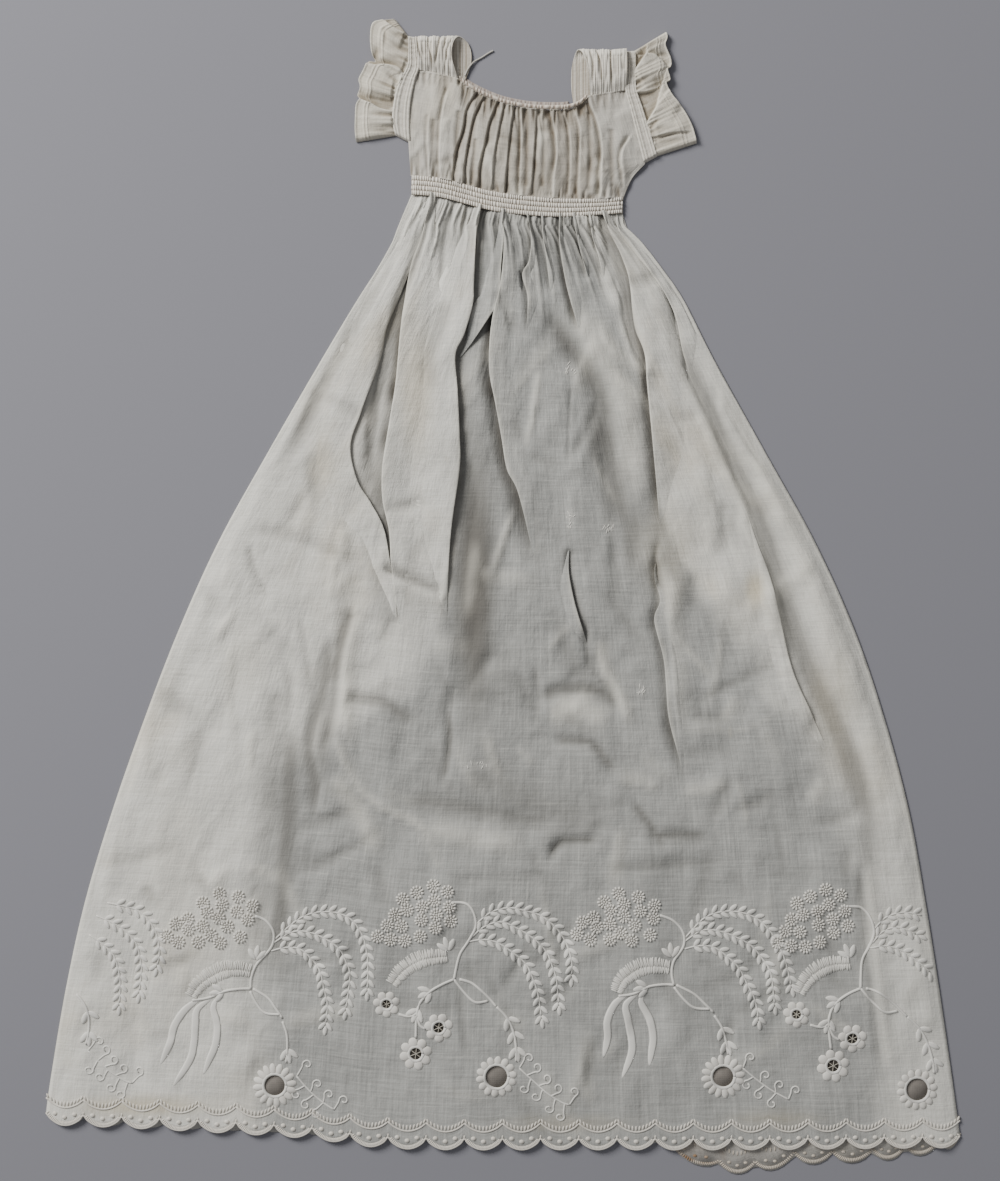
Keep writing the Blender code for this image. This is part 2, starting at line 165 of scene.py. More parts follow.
SLEEVE_LEFT = [Station(-86, 416, -98, 423, -135, 417), Station(-86.5, 434, -101, 436, -136, 438),
               Station(-86, 449, -100, 450, -134, 455), Station(-84, 462, -97.5, 463, -134, 467),
               Station(-81, 475, -93, 475, -130, 482), Station(-78, 484, -87, 487, -121, 496),
               Station(-79, 499, -86, 500, -122, 513), Station(-80, 508, -86, 509, -117, 526),
               Station(-81, 514, -87, 515, -98, 528.5)]
SLEEVE_RIGHT = [Station(130, 397, 141, 404, 178, 416), Station(125, 417, 137, 417, 174, 432),
                Station(121, 433, 132, 433, 166, 445), Station(117, 449, 127, 449, 156, 458),
                Station(113, 465, 122, 464, 151, 472), Station(114, 477, 121, 477, 154, 486),
                Station(114, 489, 121, 489, 151, 502), Station(114.5, 495, 121, 496, 150, 511),
                Station(114.5, 501, 121, 501.5, 149, 518)]
STRAP_LEFT = [Loop(-42, 475.5, -78, 484.5, 3.6), Loop(-46, 486, -78.5, 492, 7.0),
              Loop(-48, 496, -79, 500, 8.6), Loop(-46, 507, -80, 507.5, 8.0),
              Loop(-41, 513, -80.5, 513, 4.2), Loop(-33, 508, -80, 508, 0.3),
              Loop(-29.5, 496, -79, 500, 0), Loop(-31.5, 484, -78.5, 492, 0),
              Loop(-36.3, 471.8, -78, 484.7, 0)]
STRAP_RIGHT = [Loop(79, 459.5, 113, 465.5, 3.6), Loop(78, 470, 113.4, 476, 7.0),
               Loop(77, 482, 113.4, 486, 8.6), Loop(73, 495, 113.4, 495, 8.0),
               Loop(68, 501, 113.4, 502, 4.2), Loop(64.5, 495, 113.4, 496, 0.3),
               Loop(62, 482, 113.4, 486, 0), Loop(62, 466, 113.4, 476, 0),
               Loop(64.2, 449.4, 113, 465.7, 0)]
SCALLOPS = 24
SCALLOP_DEPTH = 10.0
ARMHOLE_STATIONS = {"left": 6, "right": 5}
print("sleeve stations:", len(SLEEVE_LEFT), len(SLEEVE_RIGHT))

# %% [markdown]
# Colours are written as they look on a screen and turned into the linear light that Blender
# works in. A small class wraps one socket of a material, so that shader maths can be written
# as plain sums: adding two wires makes a Math node, and every other node comes from one
# method.

# %% Colours and shader maths
def tone(red, green, blue):
    """A colour out of 255 as the linear colour that a shader takes."""
    def linear(channel):
        share = channel / 255
        return share / 12.92 if share <= 0.04045 else ((share + 0.055) / 1.055) ** 2.4
    return (linear(red), linear(green), linear(blue), 1.0)


class Wire:
    """One output of a material's nodes; sums and products of wires add Math nodes."""

    def __init__(self, tree, socket=None):
        self.tree = tree
        self.socket = socket

    def node(self, kind, settings=None, inputs=None, output=0):
        """Any other node: its settings first, then the values or wires of its sockets."""
        made = self.tree.nodes.new(kind)
        for name, value in (settings or {}).items():
            setattr(made, name, value)
        for key, value in (inputs or {}).items():
            if isinstance(value, Wire):
                self.tree.links.new(value.socket, made.inputs[key])
            else:
                made.inputs[key].default_value = value
        return Wire(self.tree, made.outputs[output])

    def maths(self, operation, first, second):
        return self.node("ShaderNodeMath", {"operation": operation}, {0: first, 1: second})

    def __add__(self, other):
        return self.maths("ADD", self, other)

    def __radd__(self, other):
        return self.maths("ADD", other, self)

    def __sub__(self, other):
        return self.maths("SUBTRACT", self, other)

    def __rsub__(self, other):
        return self.maths("SUBTRACT", other, self)

    def __mul__(self, other):
        return self.maths("MULTIPLY", self, other)

    def __rmul__(self, other):
        return self.maths("MULTIPLY", other, self)

    def limited(self, low=0.0, high=1.0):
        """This value kept between two limits."""
        return self.maths("MINIMUM", self.maths("MAXIMUM", self, low), high)

    def ramp(self, low, high):
        """From 0 where this value is low to 1 where it is high."""
        return self.node("ShaderNodeMapRange", {"interpolation_type": "SMOOTHSTEP"},
                         {0: self, 1: low, 2: high})

    def noise(self, place, scale, detail=2.0, roughness=0.5):
        """Soft noise over a place, between 0 and 1."""
        return self.node("ShaderNodeTexNoise", {},
                         {"Vector": place, "Scale": scale, "Detail": detail,
                          "Roughness": roughness})

    def stretched(self, place, x, y, z=1.0):
        """The place with each axis scaled by its own amount."""
        return self.node("ShaderNodeVectorMath", {"operation": "MULTIPLY"},
                         {0: place, 1: (x, y, z)})

    def mix(self, share, first, second):
        """A colour between two colours."""
        return self.node("ShaderNodeMix", {"data_type": "RGBA"}, {0: share, 6: first, 7: second},
                         output=2)

    def shaded(self, colour, share):
        """A colour multiplied by a grey value."""
        return self.node("ShaderNodeVectorMath", {"operation": "SCALE"}, {0: colour, 3: share})

    def painted(self, name):
        """A value that was painted on the mesh under a name."""
        return self.node("ShaderNodeAttribute", {"attribute_name": name}, output=2)


def new_material(name, roughness=0.9, sheen=0.0):
    """A material with its shader, and a wire to start its maths from."""
    material = bpy.data.materials.new(name)
    material.use_nodes = True
    shader = material.node_tree.nodes["Principled BSDF"]
    shader.inputs["Roughness"].default_value = roughness
    shader.inputs["Sheen Weight"].default_value = sheen
    return material, shader, Wire(material.node_tree)


print("mid grey in linear light:", round(tone(128, 128, 128)[0], 3))

# %% [markdown]
# Every piece of cloth starts as a flat grid. Its corners stretch to the piece's own edges, its
# points are lifted into folds, and Solidify gives it the thickness of thin cloth. Shares u
# and v, across and up the piece, stay known all the way, because gathers follow them.

# %% Cloth from a grid
THIN_CLOTH = 0.5


def place_of(piece):
    """The places of all of a piece's points, one row each."""
    flat = np.empty(len(piece.data.vertices) * 3)
    piece.data.vertices.foreach_get("co", flat)
    return flat.reshape(-1, 3)


def set_places(piece, places):
    """Move all of a piece's points, with places given in millimetres."""
    piece.data.vertices.foreach_set("co", (np.asarray(places) * MM).ravel())
    piece.data.update()


def pick(piece):
    """Select one piece alone and let the operators work on it."""
    bpy.ops.object.select_all(action="DESELECT")
    piece.select_set(True)
    bpy.context.view_layer.objects.active = piece


def new_piece(name, places, faces):
    """A piece of its own from points in millimetres and faces."""
    mesh = bpy.data.meshes.new(name)
    mesh.from_pydata((places * MM).tolist(), [], faces)
    piece = bpy.data.objects.new(name, mesh)
    bpy.context.scene.collection.objects.link(piece)
    return piece


def add_cloth(name, columns, rows):
    """A flat grid to shape into a piece of cloth, with its shares u across and v upwards."""
    bpy.ops.object.select_all(action="DESELECT")
    bpy.ops.mesh.primitive_grid_add(x_subdivisions=columns, y_subdivisions=rows, size=2)
    piece = bpy.context.object
    piece.name = name
    piece.data.name = name
    places = place_of(piece)
    return piece, (places[:, 0] + 1) / 2, (places[:, 1] + 1) / 2


def paint(piece, **shares):
    """Keep shares for each point, 0 where none is given, under names that a material reads."""
    # The first share mixes real layering with painted light and shade, the trough share holds painted
    # shade and, on the skirt's back, random darker patches, the light share is painted highlight, and
    # stains and darns are the cloth's own marks.
    for name in ("layers", "trough", "light", "stain", "darn"):
        values = shares.get(name, np.zeros(len(piece.data.vertices)))
        layer = piece.data.attributes.new(name, "FLOAT", "POINT")
        layer.data.foreach_set("value", np.asarray(values, float))


def lay_weave(piece, across, upwards):
    """Give the cloth a map in metres, with its threads along the two axes."""
    corners = np.empty(len(piece.data.loops), int)
    piece.data.loops.foreach_get("vertex_index", corners)
    pairs = np.stack([across[corners], upwards[corners]], axis=1) * MM
    piece.data.uv_layers[0].name = "weave"
    piece.data.uv_layers[0].data.foreach_set("uv", pairs.ravel())


def finish_cloth(piece, material, node=None, thickness=THIN_CLOTH):
    """Give a sheet its thickness below its shaped surface, its material and its body.

    A sheet that stands for a node of the frame replaces it."""
    pick(piece)
    area = sum(face.area for face in piece.data.polygons)
    wall = piece.modifiers.new("cloth thickness", "SOLIDIFY")
    wall.thickness = thickness * MM
    wall.offset = -1
    bpy.ops.object.modifier_apply(modifier=wall.name)
    bpy.ops.object.shade_smooth()
    piece.data.materials.clear()
    piece.data.materials.append(material)
    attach(piece, "root")
    if node:
        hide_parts(node)
    triangles = sum(len(face.vertices) - 2 for face in piece.data.polygons)
    print(piece.name, triangles, "triangles,", round(area * 10000, 1), "square cm")


print("a wall of", THIN_CLOTH, "mm stands for one layer of muslin")

# %% [markdown]
# A fold is a path over the cloth with a height and a width on each side of it, and a trough
# has a negative height. Where one layer lies over the next, the cloth has a crisp edge, called
# a ply here: it rises to the edge on one side and drops at once on the other, where it lies
# in shade. The widths follow the photograph, and no two folds in it are alike.

# %% Folds along paths
Fold = namedtuple("Fold", "height left right path spread", defaults=[1.0])
Ply = namedtuple("Ply", "rise drop over under spread on_left path")
LEFT, RIGHT = True, False
FOLD_STEPS = 20


def near_path(x, y, points, room):
    """Places near a path: which they are, how far off, how far along, and on which side."""
    path = smooth_path(points, FOLD_STEPS)
    near = np.flatnonzero((x > path[:, 0].min() - room) & (x < path[:, 0].max() + room)
                          & (y > path[:, 1].min() - room) & (y < path[:, 1].max() + room))
    px, py = x[near], y[near]
    best = np.full(len(near), np.inf)
    along = np.zeros(len(near))
    on_left = np.zeros(len(near), bool)
    for k in range(FOLD_STEPS):
        (ax, ay), (bx, by) = path[k], path[k + 1]
        rx, ry = bx - ax, by - ay
        share = np.clip(((px - ax) * rx + (py - ay) * ry) / (rx * rx + ry * ry), 0, 1)
        dx, dy = px - ax - share * rx, py - ay - share * ry
        distance = dx * dx + dy * dy
        closer = distance < best
        best = np.where(closer, distance, best)
        along = np.where(closer, (k + share) / FOLD_STEPS, along)
        on_left = np.where(closer, ry * dx - rx * dy > 0, on_left)
    return near, np.sqrt(best), along, on_left


def lay_folds(x, y, folds, fade_in=0.06, fade_out=0.3):
    """What soft folds add at each place: height, depth in a trough, and rise on a ridge."""
    height, trough, ridge = np.zeros_like(x), np.zeros_like(x), np.zeros_like(x)
    for fold in folds:
        room = 3 * max(fold.left, fold.right) * max(fold.spread, 1)
        near, off, along, on_left = near_path(x, y, fold.path, room)
        width = np.where(on_left, fold.left, fold.right) * (1 + (fold.spread - 1) * along)
        gate = smooth_step(0, fade_in, along) * (1 - smooth_step(1 - fade_out, 1, along))
        amount = fold.height * gate * np.exp(-(off / width) ** 2)
        height[near] += amount
        trough[near] = np.maximum(trough[near], -amount)
        ridge[near] = np.maximum(ridge[near], amount)
    return height, trough, ridge


EDGE_LIGHT = 2.0
HELD_FROM = 320


def ply_gate(ply, along, fade_in, fade_out):
    """How far an edge has come up at each share along it; one held by a seam starts at once."""
    start = 1.0 if ply.path[0][1] > HELD_FROM else smooth_step(0, fade_in, along)
    return start * (1 - smooth_step(1 - fade_out, 1, along))


def lay_plies(x, y, plies, fade_in=0.04, fade_out=0.22, raised=True):
    """What the edges of upper layers add: height, shade beside them, and light along them.

    Where the edge itself is a piece of its own, raised is False and only its hollow is made."""
    height, shade, light = np.zeros_like(x), np.zeros_like(x), np.zeros_like(x)
    for ply in plies:
        room = 3 * max(ply.over, ply.under * ply.spread)
        near, off, along, on_left = near_path(x, y, ply.path, room)
        gate = ply_gate(ply, along, fade_in, fade_out)
        over = on_left == ply.on_left
        under = ply.under * (1 + (ply.spread - 1) * along)
        patchy = 0.9 + 0.35 * soft_noise.at(x[near], y[near], 21)
        dark = min(ply.drop / 3, 1.2) * gate * patchy * np.exp(-(off / under) ** 2)
        if raised:
            upper = ply.rise * np.exp(-(off / ply.over) ** 1.4)
            lower = patchy * np.exp(-(off / under) ** 2.2)
            onto = smooth_step(-0.9, 0.9, np.where(over, off, -off))
            height[near] += gate * (onto * upper - (1 - onto) * ply.drop * lower)
            dark = 0.85 * (1 - onto) * dark
            bright = min(ply.rise / 2.5, 1) * gate * np.exp(-(off / EDGE_LIGHT) ** 2)
            light[near] = np.maximum(light[near], np.where(over, bright, 0))
        else:
            width = np.where(over, np.minimum(under, ply.over / 3), under)
            height[near] -= gate * ply.drop * np.exp(-(off / width) ** 2)
        shade[near] = np.maximum(shade[near], dark)
    return height, shade, light


def scatter_creases(seed, count, box, reach, depth, width, lean=0.5):
    """Small soft creases at random over a box, mostly upright, for cloth that was packed away."""
    dice = np.random.default_rng(seed)
    creases = []
    for _ in range(count):
        x, y = dice.uniform(box[0], box[1]), dice.uniform(box[2], box[3])
        heading = -math.pi / 2 + dice.normal(0, lean) + (math.pi / 2 if dice.random() < 0.3 else 0)
        step, bend = dice.uniform(*reach) / 3, dice.normal(0, 0.35)
        path = [(x, y)]
        for _ in range(3):
            heading += bend * dice.uniform(0.2, 1)
            x, y = x + step * math.cos(heading), y + step * math.sin(heading)
            path.append((x, y))
        height = dice.uniform(*depth) * (-1 if dice.random() < 0.6 else 0.8)
        creases.append(Fold(height, dice.uniform(*width), dice.uniform(*width), path))
    return creases


print("a fold is cut into", FOLD_STEPS, "steps")

# %% [markdown]
# Cloth is never quite even, so every height has a little smooth noise in it. The noise comes
# from a seeded lattice of random numbers, and places between its corners are blended.

# %% Soft noise
LATTICE = (97, 89)


class SoftNoise:
    """Smooth seeded unevenness between -1 and 1, the same on every run."""

    def __init__(self, seed):
        self.lattice = np.random.default_rng(seed).uniform(-1, 1, LATTICE)

    def at(self, x, y, scale):
        gx, gy = x / scale, y / scale
        column, row = np.floor(gx).astype(int), np.floor(gy).astype(int)
        sx, sy = smooth_step(0, 1, gx - column), smooth_step(0, 1, gy - row)
        def corner(i, j):
            return self.lattice[(column + i) % LATTICE[0], (row + j) % LATTICE[1]]
        low = corner(0, 0) * (1 - sx) + corner(1, 0) * sx
        high = corner(0, 1) * (1 - sx) + corner(1, 1) * sx
        return low * (1 - sy) + high * sy


soft_noise = SoftNoise(41)
print("noise at the waist:", soft_noise.at(np.array([0.0]), np.array([350.0]), 30.0).round(3))

# %% [markdown]
# ## The skirt's front
#
# Muslin gathered into the band falls in many small gathers, and a few of them run on as long
# pleats that lie over each other. Further down the cloth is flatter and only crumpled. The
# table holds the folds that the photograph shows, from the waist down, in millimetres.

# %% Folds of the skirt
SKIRT_PLIES = [
    Ply(1.8, 1.2, 23.9, 7.4, 1.4, LEFT, [(-63, 362), (-73, 332), (-94, 278), (-107, 246), (-113, 217),
        (-131, 167), (-140, 137), (-134, 106), (-122, 86), (-110, 63), (-104, 34), (-99, 4), (-97, -30)]),
    Ply(3.0, 3.2, 18.4, 3.7, 5.5, RIGHT, [(-67, 362), (-75, 329), (-84, 304), (-90, 271), (-94, 239),
        (-98, 195), (-104, 156), (-110, 118), (-110, 88), (-104, 59), (-102, 24), (-96, -20),
        (-91, -60)]),
    Ply(3.2, 2.4, 22.1, 10.1, 1.3, LEFT, [(-20, 360), (-23, 341), (-25, 330), (-27, 287), (-28, 267),
        (-36, 239), (-44, 221), (-42, 189), (-40, 144), (-40, 118), (-48, 59), (-51, 4), (-52, -46)]),
    Ply(2.0, 2.0, 11.0, 5.5, 1.2, LEFT, [(0, 328), (-2, 302), (-4, 271), (-12, 257), (-28, 233),
        (-39, 219)]),
    Ply(2.4, 4.0, 14.7, 5.5, 1.9, RIGHT, [(0, 344), (1, 318), (-2, 287), (-9, 257), (-12, 231),
        (-12, 204), (-7, 178), (-1, 145), (4, 116), (14, 95), (26, 44), (28, 15)]),
    Ply(1.8, 3.0, 9.2, 4.1, 1.2, RIGHT, [(52, 351), (52, 324), (58, 287), (66, 257), (72, 237)]),
    Ply(3.0, 3.6, 22.1, 5.5, 1.3, RIGHT, [(90, 355), (97, 336), (108, 314), (116, 290), (119, 262),
        (122, 244), (130, 222), (132, 195), (136, 152), (141, 97), (145, 47)]),
    Ply(1.1, 3.3, 8.0, 3.2, 1.2, RIGHT, [(93, 346), (101, 320), (110, 292), (114, 266), (118, 243),
        (124, 224)]),
    Ply(1.2, 2.4, 7.4, 4.6, 1.2, RIGHT, [(65, 344), (71, 317), (79, 287)]),
    Ply(1.1, 2.4, 14.0, 6.0, 1.3, RIGHT, [(-138, -12), (-143, -30), (-150, -50), (-155, -75),
        (-157, -108), (-164, -136), (-172, -156)]),
    Ply(1.5, 2.8, 8.0, 4.2, 1.2, LEFT, [(61, 44), (60, 24), (63, 4), (68, -16), (74, -34), (80, -52)]),
    Ply(1.6, 2.8, 9.0, 5.5, 1.2, RIGHT, [(141, 36), (139, 18), (144, -4), (139, -23), (148, -60),
        (152, -109), (162, -150), (168, -180)]),
    Ply(1.3, 1.2, 12.0, 6.0, 1.2, LEFT, [(222, 82), (234, 46), (244, 19), (254, -23), (265, -68),
        (281, -104), (297, -138), (312, -170)]),
    Ply(1.1, 0.9, 22.1, 11.0, 1.4, LEFT, [(-204, -86), (-208, -109), (-213, -162), (-216, -218),
        (-219, -278), (-222, -335)]),
    Ply(1.1, 1.6, 7.4, 3.6, 1.2, LEFT, [(-46, 361), (-52, 335), (-55, 318), (-57, 276)]),
    Ply(1.6, 1.8, 12.9, 4.6, 1.5, RIGHT, [(106, 337), (123, 313), (138, 294), (152, 272), (160, 252),
        (166, 222), (179, 182)]),
    Ply(1.6, 2.2, 8.3, 3.2, 1.3, RIGHT, [(21, 353), (26, 328), (24, 307), (18, 294), (23, 272),
        (21, 236)]),
    Ply(1.1, 1.6, 7.4, 4.0, 1.3, LEFT, [(-33, 359), (-37, 335), (-43, 307), (-47, 272), (-55, 243)]),
    Ply(1.4, 1.8, 7.4, 3.7, 1.2, RIGHT, [(35, 353), (37, 328), (41, 302), (44, 272)]),
    Ply(1.2, 1.8, 7.4, 3.7, 1.2, RIGHT, [(78, 353), (82, 331), (89, 307), (93, 287)]),
]
SKIRT_FOLDS = [
    Fold(1.5, 3.0, 9.0, [(334, -235), (338, -300), (346, -380), (356, -455)]),
    Fold(-1.6, 3.0, 7.0, [(326, -240), (331, -300), (339, -380), (349, -455)]),
    Fold(-2.2, 7.4, 6.4, [(-47, 274), (-57, 244), (-65, 219), (-66, 194), (-63, 178)], 1.1),
    Fold(-1.4, 2.8, 2.8, [(80, 344), (84, 328), (86, 313)], 1.2),
    Fold(-1.0, 2.8, 2.8, [(153, 235), (157, 221), (161, 206)], 1.2),
    Fold(-2.0, 2.8, 2.8, [(238, 55), (244, 46), (247, 33)]),
    Fold(-3.4, 5.0, 6.0, [(-92, 345), (-99, 326), (-120, 281), (-142, 241), (-163, 201), (-187, 147),
        (-205, 100)], 1.7),
    Fold(-4.0, 3.4, 3.4, [(-60, 366), (-72, 334), (-83, 302), (-97, 262), (-108, 215), (-118, 170),
        (-122, 120), (-118, 84)], 2.0),
    Fold(-4.4, 4.2, 3.4, [(90, 352), (97, 325), (106, 302), (112, 280), (116, 258), (122, 234),
        (130, 204)], 1.2),
    Fold(-3.6, 7.0, 8.0, [(148, 272), (160, 240), (176, 198), (198, 153), (213, 118), (233, 78),
        (246, 39), (255, 8), (264, -20), (274, -52), (288, -84), (302, -112), (314, -140), (326, -172),
        (338, -214), (338, -260), (334, -300)], 1.6),
    Fold(2.0, 6.0, 3.5, [(136, 290), (148, 252), (162, 214), (185, 166), (202, 124), (221, 84), (236, 42),
        (244, 19), (254, -23), (265, -68), (280, -104)], 1.3),
    Fold(1.8, 9.0, 14.0, [(176, 250), (200, 200), (224, 150), (250, 90), (272, 36), (290, -14),
        (306, -60), (324, -106), (342, -160), (356, -220)]),
    Fold(-4.0, 6.5, 5.0, [(-154, -34), (-158, -48), (-167, -95), (-175, -125), (-178, -147), (-172, -169),
        (-174, -191), (-169, -220)]),
    Fold(-1.8, 22.0, 20.0, [(-40, -150), (0, -176), (40, -196), (80, -206), (110, -214)]),
    Fold(1.8, 4.0, 9.0, [(-130, -2), (-141, -44), (-146, -80), (-149, -108), (-156, -136)]),
    Fold(1.6, 2.4, 5.0, [(-157, -120), (-146, -152), (-127, -183), (-100, -200), (-75, -213),
        (-52, -252)]),
    Fold(2.2, 4.0, 6.0, [(88, -36), (92, -64), (108, -96), (118, -122)]),
    Fold(1.0, 7.4, 12.9, [(-99, 322), (-132, 263), (-159, 215), (-196, 151)]),
    Fold(-3.4, 9.0, 7.0, [(35, 276), (46, 252), (60, 231), (80, 206), (92, 178), (97, 139), (101, 105),
        (117, 61), (135, 28)], 1.3),
    Fold(1.8, 11.0, 12.9, [(52, 272), (75, 245), (100, 206), (115, 162), (120, 116), (133, 74)], 1.1),
    Fold(1.4, 2.8, 11.0, [(148, 33), (152, -15), (157, -59), (159, -96), (166, -136)]),
    Fold(-1.8, 2.8, 2.8, [(144, 55), (140, 37), (144, 18), (139, -4)]),
    Fold(-1.0, 1.5, 1.5, [(63, 199), (61, 171), (60, 144), (59, 110)]),
    Fold(0.9, 2.8, 2.8, [(65, -24), (52, -37), (40, -50)]),
    Fold(-2.0, 3.7, 2.8, [(76, -18), (77, -40), (79, -61), (89, -77), (102, -90), (109, -112)]),
    Fold(-3.4, 7.4, 5.0, [(31, -96), (49, -86), (77, -84), (96, -91), (110, -112)]),
    Fold(1.8, 9.2, 11.0, [(39, -110), (75, -107), (100, -118)]),
    Fold(-3.2, 3.7, 4.6, [(44, -128), (52, -132), (80, -135), (94, -151), (107, -167)]),
    Fold(-1.8, 2.8, 2.8, [(28, -64), (32, -86), (31, -107), (29, -121)]),
    Fold(-3.4, 8.0, 7.0, [(-28, 150), (-30, 110), (-30, 70), (-34, 47), (-38, -4), (-36, -59),
        (-29, -101)], 1.4),
    Fold(-1.4, 6.4, 5.5, [(-19, 33), (-25, -13), (-28, -50), (-12, -63), (12, -55)]),
    Fold(-3.2, 3.6, 3.2, [(-48, -100), (-50, -110), (-49, -132), (-52, -155), (-58, -178)]),
    Fold(1.8, 8.3, 8.3, [(-157, -162), (-139, -188), (-124, -215), (-113, -241)]),
    Fold(-3.2, 9.0, 10.0, [(-190, -110), (-196, -151), (-198, -206), (-202, -261), (-205, -316),
        (-209, -362)]),
    Fold(-1.8, 2.8, 2.8, [(-234, 47), (-229, 26), (-224, 13), (-213, -7)]),
    Fold(1.2, 3.7, 3.7, [(-153, 40), (-156, 15), (-159, -6)]),
    Fold(-1.3, 3.7, 3.7, [(-187, -18), (-181, -50), (-176, -86)]),
    Fold(1.0, 4.6, 4.6, [(-249, -40), (-252, -86), (-246, -132)]),
    Fold(-1.4, 4.6, 6.4, [(-233, 61), (-196, 55), (-150, 37), (-119, 28)]),
    Fold(-3.4, 3.0, 6.0, [(-112, 27), (-102, 22), (-76, 11), (-50, 2)]),
    Fold(1.2, 8.3, 2.8, [(-100, 15), (-76, 4), (-52, -6)]),
    Fold(-1.0, 4.6, 4.6, [(-144, -13), (-120, -22), (-95, -29)]),
    Fold(-3.0, 6.4, 4.6, [(-146, -94), (-113, -96), (-95, -107), (-76, -118)]),
    Fold(-2.4, 11.0, 7.4, [(-95, -188), (-55, -190), (-11, -199), (39, -205), (71, -204)]),
    Fold(1.4, 8.3, 11.0, [(-76, -213), (-30, -223), (25, -230)]),
    Fold(-3.2, 4.6, 3.7, [(44, -243), (46, -234), (51, -227), (63, -224), (92, -225)]),
    Fold(-3.2, 3.2, 3.7, [(118, -188), (128, -202), (139, -217), (144, -224), (147, -236)]),
    Fold(-2.8, 7.4, 3.7, [(132, -214), (143, -219), (163, -218), (192, -221)]),
    Fold(-1.5, 5.5, 4.6, [(89, -250), (135, -248), (181, -245), (218, -241)]),
    Fold(-0.9, 5.5, 5.5, [(-58, -261), (-3, -258), (52, -256)]),
    Fold(1.6, 2.4, 3.6, [(152, -28), (159, -38), (177, -59), (196, -79)]),
    Fold(0.8, 2.3, 2.3, [(210, -125), (231, -118), (253, -106)]),
    Fold(0.8, 2.3, 2.3, [(-78, -216), (-67, -234), (-55, -255)]),
    Fold(0.8, 2.3, 2.3, [(12, -137), (21, -147), (30, -158)]),
    Fold(0.8, 2.8, 2.8, [(214, -166), (220, -188), (225, -215)]),
    Fold(-1.3, 5.5, 7.4, [(172, -110), (196, -112), (214, -103)]),
    Fold(-1.0, 5.5, 5.5, [(200, 88), (209, 61), (222, 33)]),
    Fold(-0.9, 3.7, 3.7, [(246, -188), (255, -234), (262, -270)]),
    Fold(-1.2, 2.3, 2.3, [(-21, -190), (-19, -202), (-20, -217)]),
]
print("edges of pleats:", len(SKIRT_PLIES), "folds:", len(SKIRT_FOLDS))

# %% [markdown]
# The height of the skirt is worked out from the place alone, so that the embroidery can ask
# for it too and lie on the same folds. The cloth comes down to the surface at its sides, rises
# a little towards the middle, and carries the small gathers just under the band.

# %% Height of the skirt's front
FRONT_TOP = 2.4
SIDE_TOP = 1.5
LOWEST_TOP = 1.4
SIDE_ROLL = 16.0
WAIST_CROWN = 2.4
HELD_UP = 1.5
GATHERS = 58

SIDE_Y = np.array([-496] + [s.y for s in reversed(SKIRT_SIDES)] + [360])
SIDE_LEFT = np.array([-420] + [s.left for s in reversed(SKIRT_SIDES)] + [-86])
SIDE_RIGHT = np.array([420] + [s.right for s in reversed(SKIRT_SIDES)] + [106])
WAIST_LINE = np.array(smooth_path(WAIST_BOTTOM, 40))

gather_dice = np.random.default_rng(7)
gather_place = (np.arange(GATHERS) + gather_dice.uniform(-0.3, 0.3, GATHERS) + 0.5) / GATHERS
gather_height = gather_dice.uniform(0.9, 2.9, GATHERS)
gather_width = gather_dice.uniform(0.0032, 0.0066, GATHERS)
gather_length = gather_dice.uniform(14, 100, GATHERS)
gather_sway = gather_dice.uniform(-0.014, 0.014, GATHERS)
CREASES = scatter_creases(5, 220, (-410, 410, -470, 300), (30, 120), (0.8, 2.5), (2.8, 8.5))


def waist_at(x):
    """How far up the gown the band's lower edge is, at places across it."""
    return np.interp(x, WAIST_LINE[:, 0], WAIST_LINE[:, 1])


def sides_at(y):
    """Where the skirt's left and right sides are, at places up the gown."""
    return np.interp(y, SIDE_Y, SIDE_LEFT), np.interp(y, SIDE_Y, SIDE_RIGHT)


def skirt_shares(x, y):
    """Share across the skirt at a height, and the distances to its sides and its waist."""
    left, right = sides_at(y)
    u = (x - left) / (right - left)
    return u, np.minimum(x - left, right - x), waist_at(x) - y


